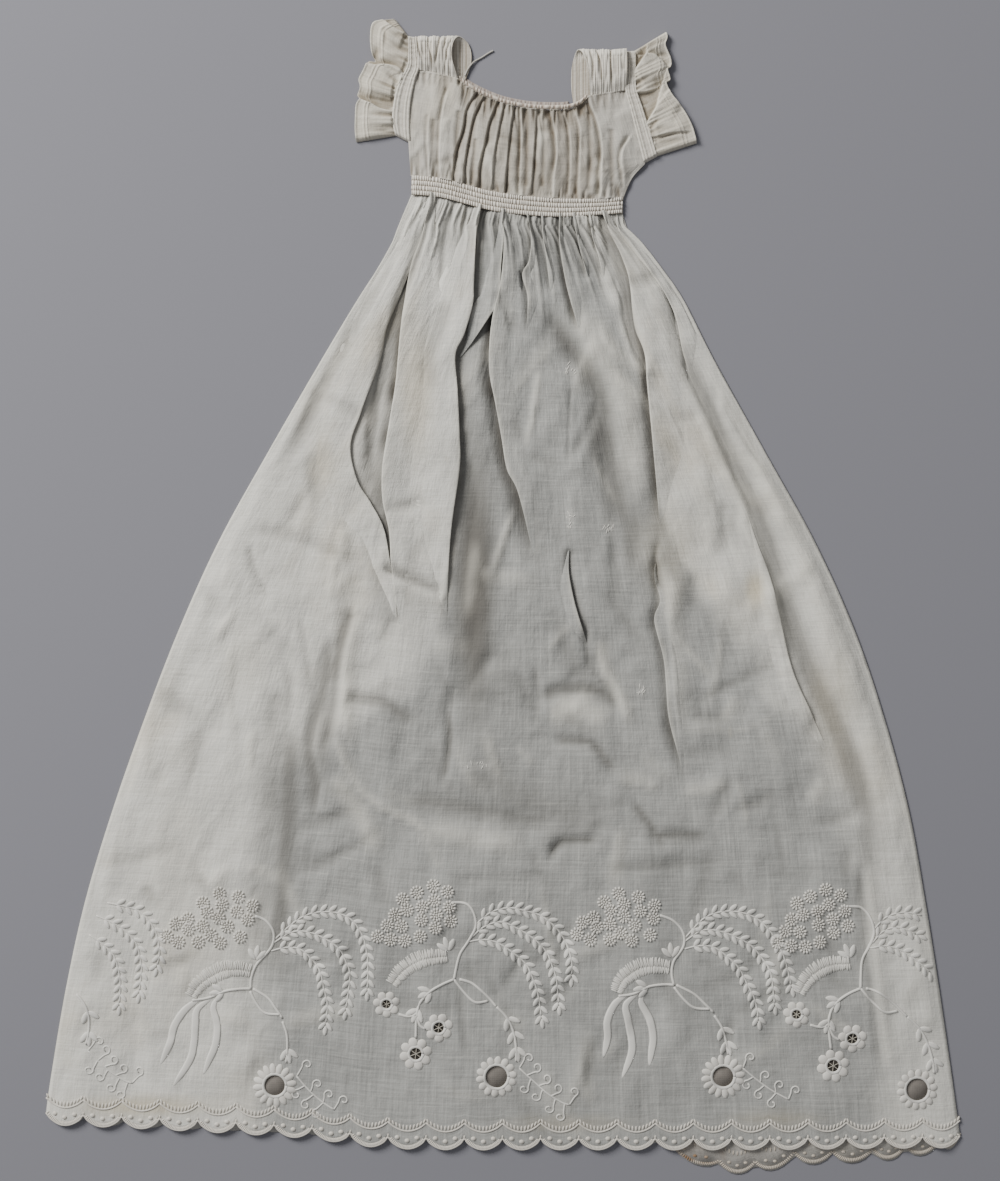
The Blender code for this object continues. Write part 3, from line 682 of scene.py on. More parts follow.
def skirt_form(x, y, with_edges=True):
    """Height of the skirt's upper surface, shade in its troughs, and light on its ridges."""
    u, from_side, down = skirt_shares(x, y)
    side = smooth_step(-1, SIDE_ROLL, from_side)
    height, trough, ridge = lay_folds(x, y, SKIRT_FOLDS, 0.16, 0.26)
    small, dip, bump = lay_folds(x, y, CREASES, 0.3, 0.4)
    edges = SKIRT_PLIES if with_edges else []
    steps, shade, _ = lay_plies(x, y, edges, raised=False)
    gathers, crests = np.zeros_like(x), np.zeros_like(x)
    for at, rise, width, length, sway in zip(gather_place, gather_height, gather_width,
                                             gather_length, gather_sway):
        centre = at + sway * np.sin(2.6 * down / length)
        fade = np.clip(1 - down / length, 0, 1) ** 0.7
        off = (u - centre) / (width * (1 + 0.5 * down / length))
        off = np.where(off > 0, off * 1.5, off * 0.8)
        crest = fade * np.exp(-off ** 2)
        gathers += rise * crest * (0.4 + 0.6 * smooth_step(0, 9, down))
        crests = np.maximum(crests, crest)
    # Painted shade lies between the small gathers under the band.
    near_band = smooth_step(80, 4, down) * smooth_step(0, 0.03, np.minimum(u, 1 - u))
    between = near_band * np.clip(1 - 1.5 * crests, 0, 1)
    crown = WAIST_CROWN * (1 - (2 * u - 1) ** 4) * smooth_step(600, 0, down)
    swell = 1.8 * soft_noise.at(x, y, 74) + 1.6 * soft_noise.at(x * 1.5 + 31, y * 0.8, 34)
    crumple = 0.7 * soft_noise.at(x * 1.3, y + 17, 17) + 0.3 * soft_noise.at(x + 9, y, 8)
    rest = smooth_step(0, 60, y + 500)
    raised = HELD_UP * smooth_step(0, 120, down)
    lift = raised + crown + gathers + 1.3 * height + steps + small + rest * (swell + crumple)
    top = SIDE_TOP + (FRONT_TOP - SIDE_TOP) * side + side * lift
    # Painted shade in troughs, dips, beside pleat edges and between gathers; painted highlight on ridges,
    # bumps and gather crests.
    hollows = np.maximum(np.clip(trough / 4.4, 0, 0.7), np.clip(dip / 5, 0, 0.3))
    dark = np.maximum(hollows, np.maximum(shade, 0.6 * between))
    bright = np.clip(ridge / 3, 0, 0.6) + np.clip(bump / 3, 0, 0.4) + 0.5 * crests
    # A painted highlight runs along the skirt's sides.
    rim = 0.7 * (1 - smooth_step(1, 4, from_side))
    return np.maximum(top, LOWEST_TOP), dark * side, bright * side + rim


sample = skirt_form(np.array([0.0, 200.0]), np.array([300.0, -300.0]))[0]
print("skirt heights in mm:", sample.round(2).tolist())

# %% [markdown]
# The muslin is so thin that one layer lets the grey surface show through, while the pleats
# that lie two or three deep at the left and right look creamier. That is painted on the cloth
# as shares: how many layers lie there, mixed with painted light, the painted shade in a fold,
# where a stain or a darn is, and a few wide soft patches of painted shade in the middle of the
# skirt, where the cloth sinks too gently to darken.

# %% Layers, stains, darns and painted shade
LAYER_LEFT = [(-20, 360), (-25, 330), (-27, 287), (-29, 267), (-36, 239),
              (-44, 221), (-42, 190), (-40, 144), (-41, 116), (-47, 61),
              (-51, 6), (-65, -40), (-95, -86), (-139, -114),
              (-170, -137), (-212, -162), (-216, -218), (-219, -280),
              (-222, -372), (-228, -520)]
LAYER_RIGHT = [(66, 355), (86, 302), (104, 256), (126, 204), (135, 153),
               (146, 88), (163, 33), (200, -22), (246, -77), (284, -132),
               (310, -188), (327, -234), (336, -280), (347, -372),
               (356, -520)]
Spot = namedtuple("Spot", "x y wide tall amount")
STAINS = [Spot(231, 6, 9, 17, 0.45), Spot(-50, 125, 1.6, 1.4, 0.8), Spot(209, -125, 1.6, 2, 0.8),
          Spot(-166, 118, 14, 26, 0.22), Spot(-238, -60, 20, 34, 0.08), Spot(150, 44, 26, 40, 0.16),
          Spot(-80, 190, 16, 60, 0.3), Spot(-300, -250, 34, 60, 0.06), Spot(300, -96, 20, 46, 0.16),
          Spot(250, -480, 40, 8, 0.2), Spot(-330, -468, 60, 9, 0.45), Spot(60, -484, 60, 6, 0.2)]
SHADES = [Spot(-26, 12, 19, 125, 1.1), Spot(-166, -115, 10, 55, 0.65), Spot(89, 152, 13, 36, 0.7),
          Spot(102, 100, 12, 38, 0.65), Spot(117, 54, 10, 32, 0.6), Spot(-10, -70, 26, 34, 0.3)]
DARN_THREADS = 9
DARNS = [Spot(62, 208, 5.5, 7, 0.25), Spot(62, 70, 4.2, 10, 0.25), Spot(97, 63, 5, 6, 0.2),
         Spot(-22, -155, 12, 3.4, 0.3), Spot(127, -86, 3, 5, 0.2)]


def spots(x, y, table):
    """How strongly any spot of a table covers each place."""
    cover = np.zeros_like(x)
    for spot in table:
        reach = ((x - spot.x) / spot.wide) ** 2 + ((y - spot.y) / spot.tall) ** 2
        cover = np.maximum(cover, spot.amount * np.exp(-reach ** 1.5))
    return cover


def layers_at(x, y):
    """From 0 where one layer lies over the back to 1 where pleats lie on each other."""
    left = np.array(LAYER_LEFT[::-1], float)
    right = np.array(LAYER_RIGHT[::-1], float)
    soft = np.interp(y, [-500, -60, 20, 360], [26, 30, 6, 3])
    wander = 5 * soft_noise.at(x, y, 22)
    from_left = np.interp(y, left[:, 1], left[:, 0]) - x + wander
    from_right = x - np.interp(y, right[:, 1], right[:, 0]) + wander
    return np.maximum(smooth_step(-1, 1, from_left / soft), smooth_step(-1, 1, from_right / soft))


print("layers left, middle, right:",
      layers_at(np.array([-150.0, 50, 200]), np.array([100.0, 100, 100])).round(2).tolist())

# %% [markdown]
# ## Muslin
#
# Handspun muslin is never quite even: single threads are thicker, so faint lines run along
# both directions of the weave. Two noises stretched along the threads give those lines, and a
# third one gives the cloudy look of old cotton. The painted shares then choose between thin and
# layered cloth, lay painted shade in the folds and put a painted highlight on ridges and edges.

# %% Muslin material
def muslin(name, thin, layered, fold, stain, streaks=0.75, clouds=0.7, bump=0.7):
    """Old white muslin, from the colours of its single and layered cloth and of the painted shade in its
    folds.
    """
    material, shader, start = new_material(name, sheen=0.1)
    place = start.node("ShaderNodeUVMap", {"uv_map": "weave"})
    warp = start.noise(start.stretched(place, *WARP_SCALE), 1.0, 4.0, 0.7)
    weft = start.noise(start.stretched(place, *WEFT_SCALE), 1.0, 4.0, 0.7)
    cloud = start.noise(place, 15.0, 8.0, 0.68)
    # This share mixes real layering with painted highlight and shade.
    layers = start.painted("layers").limited()
    sheer = 1.1 - 0.45 * layers
    colour = start.mix(layers, tone(*thin), tone(*layered))
    yellowed = start.noise(place, 5.0, 4.0, 0.6).ramp(0.5, 0.75) * layers * 0.4
    colour = start.mix(yellowed, colour, tone(*YELLOWED))
    uneven = 1 + sheer * (streaks * (warp + weft - 1) + clouds * (cloud - 0.5))
    colour = start.shaded(colour, uneven)
    slubs = warp.ramp(0.6, 0.78) + weft.ramp(0.6, 0.78)
    colour = start.mix((slubs * 0.3).limited(), colour, tone(*SLUB_AND_HIGHLIGHT_COLOUR))
    # Painted shade in folds, hollows and between gathers.
    colour = start.mix((start.painted("trough") * 0.85).limited(), colour, tone(*fold))
    # Painted highlight on ridges, edges and cords.
    colour = start.mix((start.painted("light") * 0.55).limited(), colour, tone(*SLUB_AND_HIGHLIGHT_COLOUR))
    colour = start.mix(start.painted("stain").limited(), colour, tone(*stain))
    colour = start.mix(start.painted("darn").limited(), colour, tone(*DARN_COLOUR))
    start.tree.links.new(colour.socket, shader.inputs["Base Color"])
    crinkle = start.noise(start.stretched(place, *CRINKLE_SCALE), 1.0, 6.0, 0.62)
    bent = start.noise(start.stretched(place, *BEND_SCALE), 1.0, 1.5, 0.5) - 0.5
    folded = start.maths("ABSOLUTE", bent, 0.0).ramp(0.0, 0.05)
    relief = warp * 0.4 + weft * 0.4 + crinkle * 1.6 - folded * 0.3
    bumps = start.node("ShaderNodeBump", {}, {"Strength": bump, "Distance": 1.2 * MM,
                                              "Height": relief})
    start.tree.links.new(bumps.socket, shader.inputs["Normal"])
    return material


WARP_SCALE, WEFT_SCALE = (430, 15), (17, 450)
CRINKLE_SCALE, BEND_SCALE = (70, 48), (11, 6)
# Colour of the thicker slubs in the thread and of the painted highlight.
SLUB_AND_HIGHLIGHT_COLOUR = (214, 209, 194)
DARN_COLOUR = (214, 210, 200)
YELLOWED = (188, 172, 140)
SKIRT_THIN = (156, 155, 149)
SKIRT_LAYERED = (205, 202, 192)
# Colour of the painted shade in the skirt's folds.
SKIRT_FOLD_SHADE = (82, 78, 71)
SKIRT_STAIN = (168, 148, 100)
skirt_muslin = muslin("skirt front muslin", SKIRT_THIN, SKIRT_LAYERED, SKIRT_FOLD_SHADE, SKIRT_STAIN)
print("made", skirt_muslin.name)

# %% [markdown]
# The front panel is one wide grid. Ten columns make each scallop of the hem, and the rows are
# closer together near the band, where the gathers are fine. The holes of the eyelets are cut
# out of the grid before the cloth gets its thickness, as they are in the real border.

# %% The skirt's front panel
SKIRT_COLUMNS = SCALLOPS * 10
SKIRT_ROWS = 200
WEAVE_WIDE, WEAVE_LONG = 840, 850
PLEAT_CLOTH = 0.4


def scallop_drop(share_of_edge, count):
    """How far the hem swells below the line of its cusps, for each share along it."""
    return SCALLOP_DEPTH * np.abs(np.sin(np.pi * share_of_edge * count)) ** 0.7


def cut_holes(piece, holes):
    """Delete the faces of a flat piece inside round holes, each given as x, y and radius."""
    pick(piece)
    bpy.ops.object.mode_set(mode="EDIT")
    bpy.ops.mesh.select_mode(type="FACE")
    bpy.ops.mesh.select_all(action="DESELECT")
    bpy.ops.object.mode_set(mode="OBJECT")
    middles = np.empty(len(piece.data.polygons) * 3)
    piece.data.polygons.foreach_get("center", middles)
    middles = middles.reshape(-1, 3) / MM
    chosen = np.zeros(len(middles), bool)
    for x, y, radius in holes:
        chosen |= np.hypot(middles[:, 0] - x, middles[:, 1] - y) < radius
    piece.data.polygons.foreach_set("select", chosen)
    bpy.ops.object.mode_set(mode="EDIT")
    bpy.ops.mesh.delete(type="FACE")
    bpy.ops.object.mode_set(mode="OBJECT")


def side_edge(side, corner):
    """One side of the skirt, from the hem up to the band."""
    points = [HEM_FRONT[corner]] + [(getattr(s, side), s.y) for s in reversed(SKIRT_SIDES)]
    return smooth_path(points + [WAIST_BOTTOM[corner]], 80)


SKIRT_EDGES = (side_edge("left", 0), side_edge("right", -1))
skirt_front, u, v = add_cloth("skirt_front_cloth", SKIRT_COLUMNS, SKIRT_ROWS)
rise = 1 - (1 - v) ** 1.15
flat_skirt = fill_between(smooth_path(HEM_FRONT, 120), smooth_path(WAIST_BOTTOM, 60),
                          *SKIRT_EDGES, u, rise)
flat_skirt[:, 1] -= scallop_drop(u, SCALLOPS) * (1 - smooth_step(0, 0.035, rise))
height, dark, bright = skirt_form(*flat_skirt.T)
set_places(skirt_front, np.column_stack([flat_skirt, height]))
lay_weave(skirt_front, (u - 0.5) * WEAVE_WIDE, rise * WEAVE_LONG)
# Painted highlight also lifts the layer share; the trough share holds the folds' painted shade and the
# wide patches of painted shade.
paint(skirt_front, layers=np.clip(layers_at(*flat_skirt.T) + 0.3 * bright, 0, 1), light=bright,
      trough=np.maximum(dark, spots(*flat_skirt.T, SHADES)),
      stain=spots(*flat_skirt.T, STAINS), darn=spots(*flat_skirt.T, DARNS))
print("grid points:", len(u), "highest:", height.max().round(1), "mm")

# %% [markdown]
# A pleat's edge is crisp, so it is modelled as cloth of its own: a strip along the fold that
# rises to its rounded edge, turns under there, and sinks into the panel on its other side.

# %% Edges of the pleats
STRIP_SHARES = [1.7, 1.4, 1.15, 0.92, 0.72, 0.54, 0.38, 0.24, 0.12, 0.05]
STRIP_ROLL = [(0.0, 0.0), (-0.5, -0.5), (-0.4, -1.2), (0.6, -1.6)]
STRIP_STEP = 3.0


def pleat_strip(ply):
    """Places along and across one pleat's edge above the panel, with its paint."""
    x, y = ply.path[0]
    held = [(x, waist_at(x) + 5)] if y > HELD_FROM else []
    path = held + [p for p in ply.path if not held or p[1] < held[0][1] - 6]
    line = stepped_path(path, STRIP_STEP, 8)
    heading = directions(line)
    sign = 1 if ply.on_left else -1
    out = sign * np.column_stack([heading[:, 1], -heading[:, 0]])
    gate = ply_gate(ply, np.linspace(0, 1, len(line)), 0.4, 0.34)
    down = waist_at(line[:, 0]) - line[:, 1]
    reach = ply.over * (0.12 + 0.88 * gate) * (0.16 + 0.84 * smooth_step(-4, 100, down))
    rows = [(share, 0.0, 0.0) for share in STRIP_SHARES] + [(0.0, a, b) for a, b in STRIP_ROLL]
    strip = []
    for share, aside, lower in rows:
        flat = line + out * (share * reach + aside * gate)[:, None]
        lift = ply.rise * math.exp(-share ** 1.4) * gate + 0.15 + lower * gate
        sunk = 1.1 * smooth_step(0.8, 1.7, share) + 1.5 * (1 - gate) ** 2
        more = 0.28 * gate * min(ply.over / 18, 1) * smooth_step(1.5, 0.7, share)
        # Painted highlight along the rounded edge, painted shade on the rows rolled under it.
        light = 0.8 * gate * math.exp(-(share * ply.over / 2.6) ** 2) * (lower == 0)
        trough = min(ply.drop / 3, 0.9) * gate * (lower < -0.6)
        strip.append(np.column_stack([flat, lift - sunk, more, light, trough]))
    return np.stack(strip, axis=1)


def join_strips(name, plies):
    """All pleat edges as one mesh, lying on the panel, with its weave map and paint."""
    rows, faces, start = [], [], 0
    for ply in plies:
        strip = pleat_strip(ply)
        steps, across = strip.shape[:2]
        index = start + np.arange(steps * across).reshape(steps, across)
        quads = np.stack([index[:-1, :-1], index[1:, :-1], index[1:, 1:], index[:-1, 1:]], axis=2)
        quads = quads.reshape(-1, 4)
        faces += (quads if ply.on_left else quads[:, ::-1]).tolist()
        rows.append(strip.reshape(-1, 6))
        start += steps * across
    x, y, lift, more, light, trough = np.vstack(rows).T
    y = np.minimum(y, waist_at(x) + 3)
    left, right = sides_at(y)
    x = np.clip(x, left + 4, right - 4)
    top, dark, bright = skirt_form(x, y, False)
    # The panel's painted highlight and painted shade carry on over the strips.
    light = np.maximum(light, 0.8 * bright)
    trough = np.maximum.reduce([trough, 0.9 * dark, spots(x, y, SHADES)])
    piece = new_piece(name, np.column_stack([x, y, top + lift]), faces)
    piece.data.uv_layers.new(name="weave")
    lay_weave(piece, ((x - left) / (right - left) - 0.5) * WEAVE_WIDE, y + 490)
    paint(piece, layers=np.clip(layers_at(x, y) + more, 0, 1), light=light, trough=trough,
          stain=spots(x, y, STAINS))
    return piece


STRIP_RISE = 1.15
skirt_pleats = join_strips("skirt_pleats", [p for p in SKIRT_PLIES if p.rise > STRIP_RISE])
finish_cloth(skirt_pleats, skirt_muslin, thickness=PLEAT_CLOTH)

# %% [markdown]
# ## Whitework
#
# The border is worked in soft white cotton. Every leaf, petal, tick and dot is a padded satin
# stitch: a small dome that stands a little proud of the muslin. One stitch is modelled from a
# low sphere pinched to a point at each end, and a dot is left round. Each is copied to all of
# its places and joined into one mesh, and every point of it is lifted to the skirt's height.

# %% One stitch and one dot
STITCH_SINK = 0.1


def stitch_shape(name, pinch, groove=0.0):
    """A small dome one unit long, wide and high, pinched at both ends, with a parting on top."""
    bpy.ops.object.select_all(action="DESELECT")
    bpy.ops.mesh.primitive_uv_sphere_add(segments=8, ring_count=5, radius=0.5,
                                         rotation=(0, math.pi / 2, 0))
    bpy.ops.object.transform_apply(rotation=True)
    model = bpy.context.object
    model.name = name
    points = place_of(model)
    points[:, 1] *= 1 - pinch * (2 * np.abs(points[:, 0])) ** 1.5
    on_top = (np.abs(points[:, 1]) < 0.1) & (points[:, 2] > 0.1)
    points[on_top, 2] *= 1 - groove
    faces = [tuple(face.vertices) for face in model.data.polygons]
    bpy.data.objects.remove(model, do_unlink=True)
    return points, faces


LEAF_SHAPE = stitch_shape("leaf stitch", 0.3, 0.55)
DOT_SHAPE = stitch_shape("dot stitch", 0.0)
Stitch = namedtuple("Stitch", "x y angle length width height")


def stitch_off(x, y, reach, angle, length, width, height, turn=0.0):
    """A stitch whose middle lies off a place, at a reach along the way that it points."""
    return Stitch(x + reach * math.cos(angle), y + reach * math.sin(angle), angle + turn,
                  length, width, height)


def scatter(shape, stitches):
    """Points and faces of many copies of a shape, each turned and sized for its place."""
    points, faces = shape
    table = np.array(stitches, float)
    sized = points[None] * table[:, None, 3:6]
    cosine, sine = np.cos(table[:, 2])[:, None], np.sin(table[:, 2])[:, None]
    x = table[:, 0:1] + sized[:, :, 0] * cosine - sized[:, :, 1] * sine
    y = table[:, 1:2] + sized[:, :, 0] * sine + sized[:, :, 1] * cosine
    places = np.stack([x, y, sized[:, :, 2]], axis=2).reshape(-1, 3)
    count = len(points)
    copies = [tuple(k * count + i for i in face) for k in range(len(table)) for face in faces]
    return places, copies


def tube_faces(rings, sides):
    """Faces of a tube whose points run ring by ring, closed at both ends."""
    faces = []
    for k in range(rings - 1):
        for i in range(sides):
            n = (i + 1) % sides
            faces.append((k * sides + i, k * sides + n, (k + 1) * sides + n, (k + 1) * sides + i))
    faces.append(tuple(range(sides - 1, -1, -1)))
    faces.append(tuple((rings - 1) * sides + i for i in range(sides)))
    return faces


def thread_along(path, width, height, spacing=2.0, sides=6, taper=0.0):
    """Points and faces of a padded line of stitches along a path, closed at both ends."""
    line = stepped_path(path, spacing, 3)
    heading = directions(line)
    share = np.linspace(0, 1, len(line))
    swell = 1 - taper * (2 * share - 1) ** 4
    angle = np.arange(sides) * 2 * np.pi / sides
    out = width / 2 * swell[:, None] * np.cos(angle)
    x = line[:, 0:1] - heading[:, 1:2] * out
    y = line[:, 1:2] + heading[:, 0:1] * out
    z = height / 2 * swell[:, None] * np.sin(angle)
    places = np.stack([x, y, z], axis=2).reshape(-1, 3)
    return places, tube_faces(len(line), sides)


def join_parts(name, parts, surface, material, sink=STITCH_SINK):
    """One mesh from many parts, set on a surface and sunk a little into it."""
    places, faces, start = [], [], 0
    for points, part_faces in parts:
        places.append(points)
        faces += [tuple(start + i for i in face) for face in part_faces]
        start += len(points)
    places = np.vstack(places)
    places[:, 2] += surface(places[:, 0], places[:, 1]) - sink
    piece = new_piece(name, places, faces)
    piece.data.materials.append(material)
    pick(piece)
    bpy.ops.object.mode_set(mode="EDIT")
    bpy.ops.mesh.select_all(action="SELECT")
    bpy.ops.mesh.normals_make_consistent(inside=False)
    bpy.ops.object.mode_set(mode="OBJECT")
    bpy.ops.object.shade_smooth()
    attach(piece, "root")
    print(name, sum(len(f) - 2 for f in faces), "triangles")
    return piece


print("a leaf has", len(LEAF_SHAPE[1]), "faces")

# %% [markdown]
# Cotton floss is whiter and a little shinier than the muslin. Its colour is broken by fine
# threads lying side by side.

# %% Embroidery cotton
def floss(name, colour, dark, roughness=0.75, stained=None):
    """Soft cotton thread, a little uneven in colour, and brown over one stretch if stained."""
    material, shader, start = new_material(name, roughness, 0.1)
    place = start.node("ShaderNodeTexCoord", output=3)
    patches = start.noise(place, 60.0, 3.0)
    threads = start.noise(place, 2400.0, 2.0)
    mixed = start.mix((patches * 0.6 + threads * 0.6 - 0.1).limited(), tone(*dark), tone(*colour))
    if stained:
        across = start.node("ShaderNodeSeparateXYZ", {}, {0: place})
        inside = across.ramp(*stained) * patches.ramp(0.38, 0.56)
        mixed = start.mix(inside, mixed, tone(*BROWN_STAIN))
    start.tree.links.new(mixed.socket, shader.inputs["Base Color"])
    bumps = start.node("ShaderNodeBump", {}, {"Strength": 0.4, "Distance": 0.2 * MM,
                                              "Height": threads})
    start.tree.links.new(bumps.socket, shader.inputs["Normal"])
    return material


BROWN_STAIN = (128, 96, 62)
border_floss = floss("border cotton", (222, 219, 211), (196, 192, 182))
print("made", border_floss.name)

# %% [markdown]
# Two sprays take turns along the border, and both are old, common whitework motifs: a cluster
# of rosettes, three arching fern fronds, a plume of straight stitches, eyelet flowers and a
# scroll of fine tendrils. One has three small eyelet flowers, the other three long ribbon
# leaves. The tables give the middle one of each kind in millimetres.

# %% Tables of the two sprays
B_ROSETTES = [(-64, -266), (-51, -271), (-79, -272), (-92, -278), (-63, -279), (-74, -285),
              (-49, -285), (-88, -288), (-99, -292), (-61, -292), (-75, -297), (-48, -298),
              (-106, -302), (-93, -303), (-62, -304), (-115, -312), (-103, -315), (-90, -316),
              (-76, -312)]
B_FRONDS = [
    [(-25, -301), (-11, -290), (6, -286), (21, -289), (36, -294), (49, -305), (58, -319),
     (63, -335), (63, -347)],
    [(-29, -313), (-17, -303), (-2, -299), (13, -305), (29, -315), (40, -327), (45, -339),
     (49, -352), (51, -373)],
    [(-31, -317), (-18, -315), (-5, -318), (9, -327), (21, -338), (27, -350), (32, -365), (35, -385)]]
B_STEMS = [
    [(-48, -281), (-34, -282), (-27, -290), (-25, -303), (-32, -317), (-40, -330), (-45, -352)],
    [(-45, -352), (-55, -356), (-66, -362), (-74, -370), (-79, -382), (-80, -405)],
    [(-80, -384), (-87, -386), (-96, -384)],
    [(-79, -386), (-76, -394), (-71, -397)],
    [(-45, -352), (-34, -366), (-25, -373), (-14, -372)],
    [(-40, -352), (-28, -356), (-16, -366), (-6, -377)],
    [(-6, -377), (3, -386), (9, -398), (12, -414), (12, -427)]]
B_PLUME = [(-101, -356), (-95, -348), (-86, -340), (-71, -333), (-52, -331)]
B_SPRIGS = [
    [(-44, -346), (-47, -335), (-50, -326)],
    [(-55, -356), (-66, -362)],
    [(-74, -370), (-78, -379)],
    [(-6, -377), (3, -386), (9, -398), (12, -414)]]
Flower = namedtuple("Flower", "x y petals radius hole")
B_FLOWERS = [Flower(-107, -375, 7, 12.0, 4.2), Flower(-59, -396, 7, 12.9, 4.9),
             Flower(-80, -420, 8, 14.7, 5.5), Flower(-6, -441, 14, 18.4, 10.1)]
B_SCROLL = [(15, -433), (27, -444), (40, -455), (54, -464), (61, -466)]
B_CURLS = [(24, -424), (31, -432), (19, -452), (40, -442), (30, -459), (50, -451), (42, -470),
           (65, -454), (52, -477)]
A_ROSETTES = [(106, -273), (124, -276), (93, -281), (139, -284), (111, -283), (126, -289),
              (99, -289), (83, -295), (73, -299), (111, -294), (138, -296), (98, -301),
              (121, -302), (86, -304), (108, -309), (135, -311), (68, -310), (80, -315),
              (98, -315), (118, -316)]
A_FRONDS = [
    [(168, -313), (184, -296), (199, -290), (217, -290), (233, -296), (247, -310), (256, -327),
     (261, -343), (264, -356)],
    [(167, -317), (182, -307), (197, -307), (214, -313), (228, -321), (238, -333), (245, -345),
     (249, -373)],
    [(167, -324), (179, -321), (193, -322), (206, -331), (217, -342), (224, -356), (231, -370),
     (234, -386)]]
A_STEMS = [
    [(144, -293), (156, -298), (165, -308), (166, -321), (157, -335), (155, -347), (157, -357)],
    [(157, -357), (144, -357), (133, -359), (120, -365), (106, -367)],
    [(157, -359), (166, -370), (176, -378), (190, -379)],
    [(159, -357), (175, -365), (185, -374), (193, -382)],
    [(194, -385), (201, -396), (205, -409), (207, -421)]]
A_PLUME = [(105, -363), (108, -356), (113, -350), (126, -342), (140, -340), (152, -342)]
A_RIBBONS = [
    [(115, -365), (103, -374), (96, -389), (96, -405), (92, -423)],
    [(124, -365), (113, -375), (115, -389), (118, -405), (118, -420), (109, -442)],
    [(130, -363), (127, -373), (135, -389), (138, -405), (136, -419), (134, -431)]]
A_SPRIGS = [
    [(157, -349), (155, -340), (155, -332)],
    [(144, -357), (133, -359)],
    [(194, -385), (201, -396), (205, -409)]]
A_FLOWERS = [Flower(202, -441, 16, 19.8, 9.5)]
A_SCROLL = [(220, -433), (233, -444), (247, -454), (262, -462)]
A_CURLS = [(227, -423), (224, -449), (241, -440), (235, -458), (254, -449), (247, -466), (269, -454)]
Kind = namedtuple("Kind", "rosettes fronds stems plume ribbons sprigs flowers scroll curls")
KINDS = {"A": Kind(A_ROSETTES, A_FRONDS, A_STEMS, A_PLUME, A_RIBBONS, A_SPRIGS, A_FLOWERS,
                   A_SCROLL, A_CURLS),
         "B": Kind(B_ROSETTES, B_FRONDS, B_STEMS, B_PLUME, [], B_SPRIGS, B_FLOWERS,
                   B_SCROLL, B_CURLS)}
Spray = namedtuple("Spray", "kind along up lean sink")
SPRAYS = [Spray("B", -368, 4, -0.18, -0.08), Spray("A", -368, 0, -0.27, 0.05),
          Spray("B", 0, 0, 0, 0), Spray("A", 0, 0, 0, 0), Spray("B", 362, -4, 0.15, 0.05)]
SPRAY_TOP = -280
print("sprays:", len(SPRAYS))

# %% [markdown]
# Each motif is made of single stitches: leaves in pairs along a frond, two rings of short
# stitches round the knot of a rosette, broad petals round an eyelet, and fine strokes on both
# sides of a plume.

# %% Motifs from stitches
LEAF_LENGTH, LEAF_WIDTH, LEAF_RISE = 9.8, 4.4, 3.2
LEAF_PITCH = 7.8
LEAF_TURN = math.radians(40)
SIDE_ROOM = 5.0


def moved(spray, points):
    """Points of a table where one spray has them."""
    points = np.array(points, float).reshape(-1, 2)
    below = SPRAY_TOP - points[:, 1]
    return np.stack([points[:, 0] + spray.along + spray.lean * below,
                     points[:, 1] + spray.up - spray.sink * below], axis=1)


def inside(x, y, room=SIDE_ROOM):
    """Whether a place is on the skirt, with some room to its side."""
    return skirt_shares(np.array([x]), np.array([y]))[1][0] > room


def leafy(path, pitch=LEAF_PITCH, size=1.0):
    """Leaves in pairs along a path, with one more at its tip."""
    line = stepped_path(path, pitch, 1)
    heading = np.gradient(line, axis=0)
    leaves = []
    for (x, y), (hx, hy) in zip(line[1:], heading[1:]):
        ahead = math.atan2(hy, hx)
        for turn in (LEAF_TURN, -LEAF_TURN):
            leaves.append(stitch_off(x, y, LEAF_LENGTH * size * 0.52, ahead + turn,
                                     LEAF_LENGTH * size, LEAF_WIDTH * size, LEAF_RISE))
    leaves.append(stitch_off(x, y, LEAF_LENGTH * 0.8, ahead,
                             LEAF_LENGTH * size, LEAF_WIDTH * size, LEAF_RISE))
    return leaves


def rosette(x, y, dice):
    """A close round bundle of short raised stitches, in two rings around a knot."""
    petals = []
    for count, reach, length, width in ((11, 5.0, 3.3, 2.3), (7, 2.5, 2.5, 1.9)):
        first = dice.uniform(0, 1)
        for k in range(count):
            angle = (k + first + dice.uniform(-0.15, 0.15)) * 2 * math.pi / count
            petals.append(stitch_off(x, y, reach, angle, length * dice.uniform(0.85, 1.1),
                                     width, 3.2))
    petals.append(Stitch(x, y, 0, 2.0, 2.0, 3.8))
    return petals


def flower(x, y, count, radius, hole):
    """Broad padded petals around an eyelet, and the ring of stitches that holds its edge."""
    petals = []
    reach = radius - hole
    for k in range(count):
        angle = (k + 0.3) * 2 * math.pi / count
        wide = 2 * math.pi * (hole + reach * 0.66) / count * 1.04
        petals.append(stitch_off(x, y, hole + reach * 0.52, angle, reach * 1.12, wide, 2.6))
    ring = [(x + (hole + 1.3) * math.cos(a), y + (hole + 1.3) * math.sin(a))
            for a in np.linspace(0, 2 * math.pi, 25)]
    return petals, ring


def plume(path, dice):
    """Fine straight stitches side by side, on both sides of an arc."""
    line = smooth_path(path, 40)
    heading = np.gradient(line, axis=0)
    strokes = []
    for k, ((x, y), (hx, hy)) in enumerate(zip(line, heading)):
        out = math.atan2(hx, -hy) + dice.uniform(-0.12, 0.12)
        full = 0.72 + 0.28 * math.sin(math.pi * k / 40) + dice.uniform(-0.08, 0.08)
        for reach, length in ((4.4, 10.8), (-3.2, 8.6)):
            strokes.append(stitch_off(x, y, reach * full, out, length * full, 1.9, 2.2,
                                      turn=dice.uniform(-0.1, 0.1)))
    return strokes


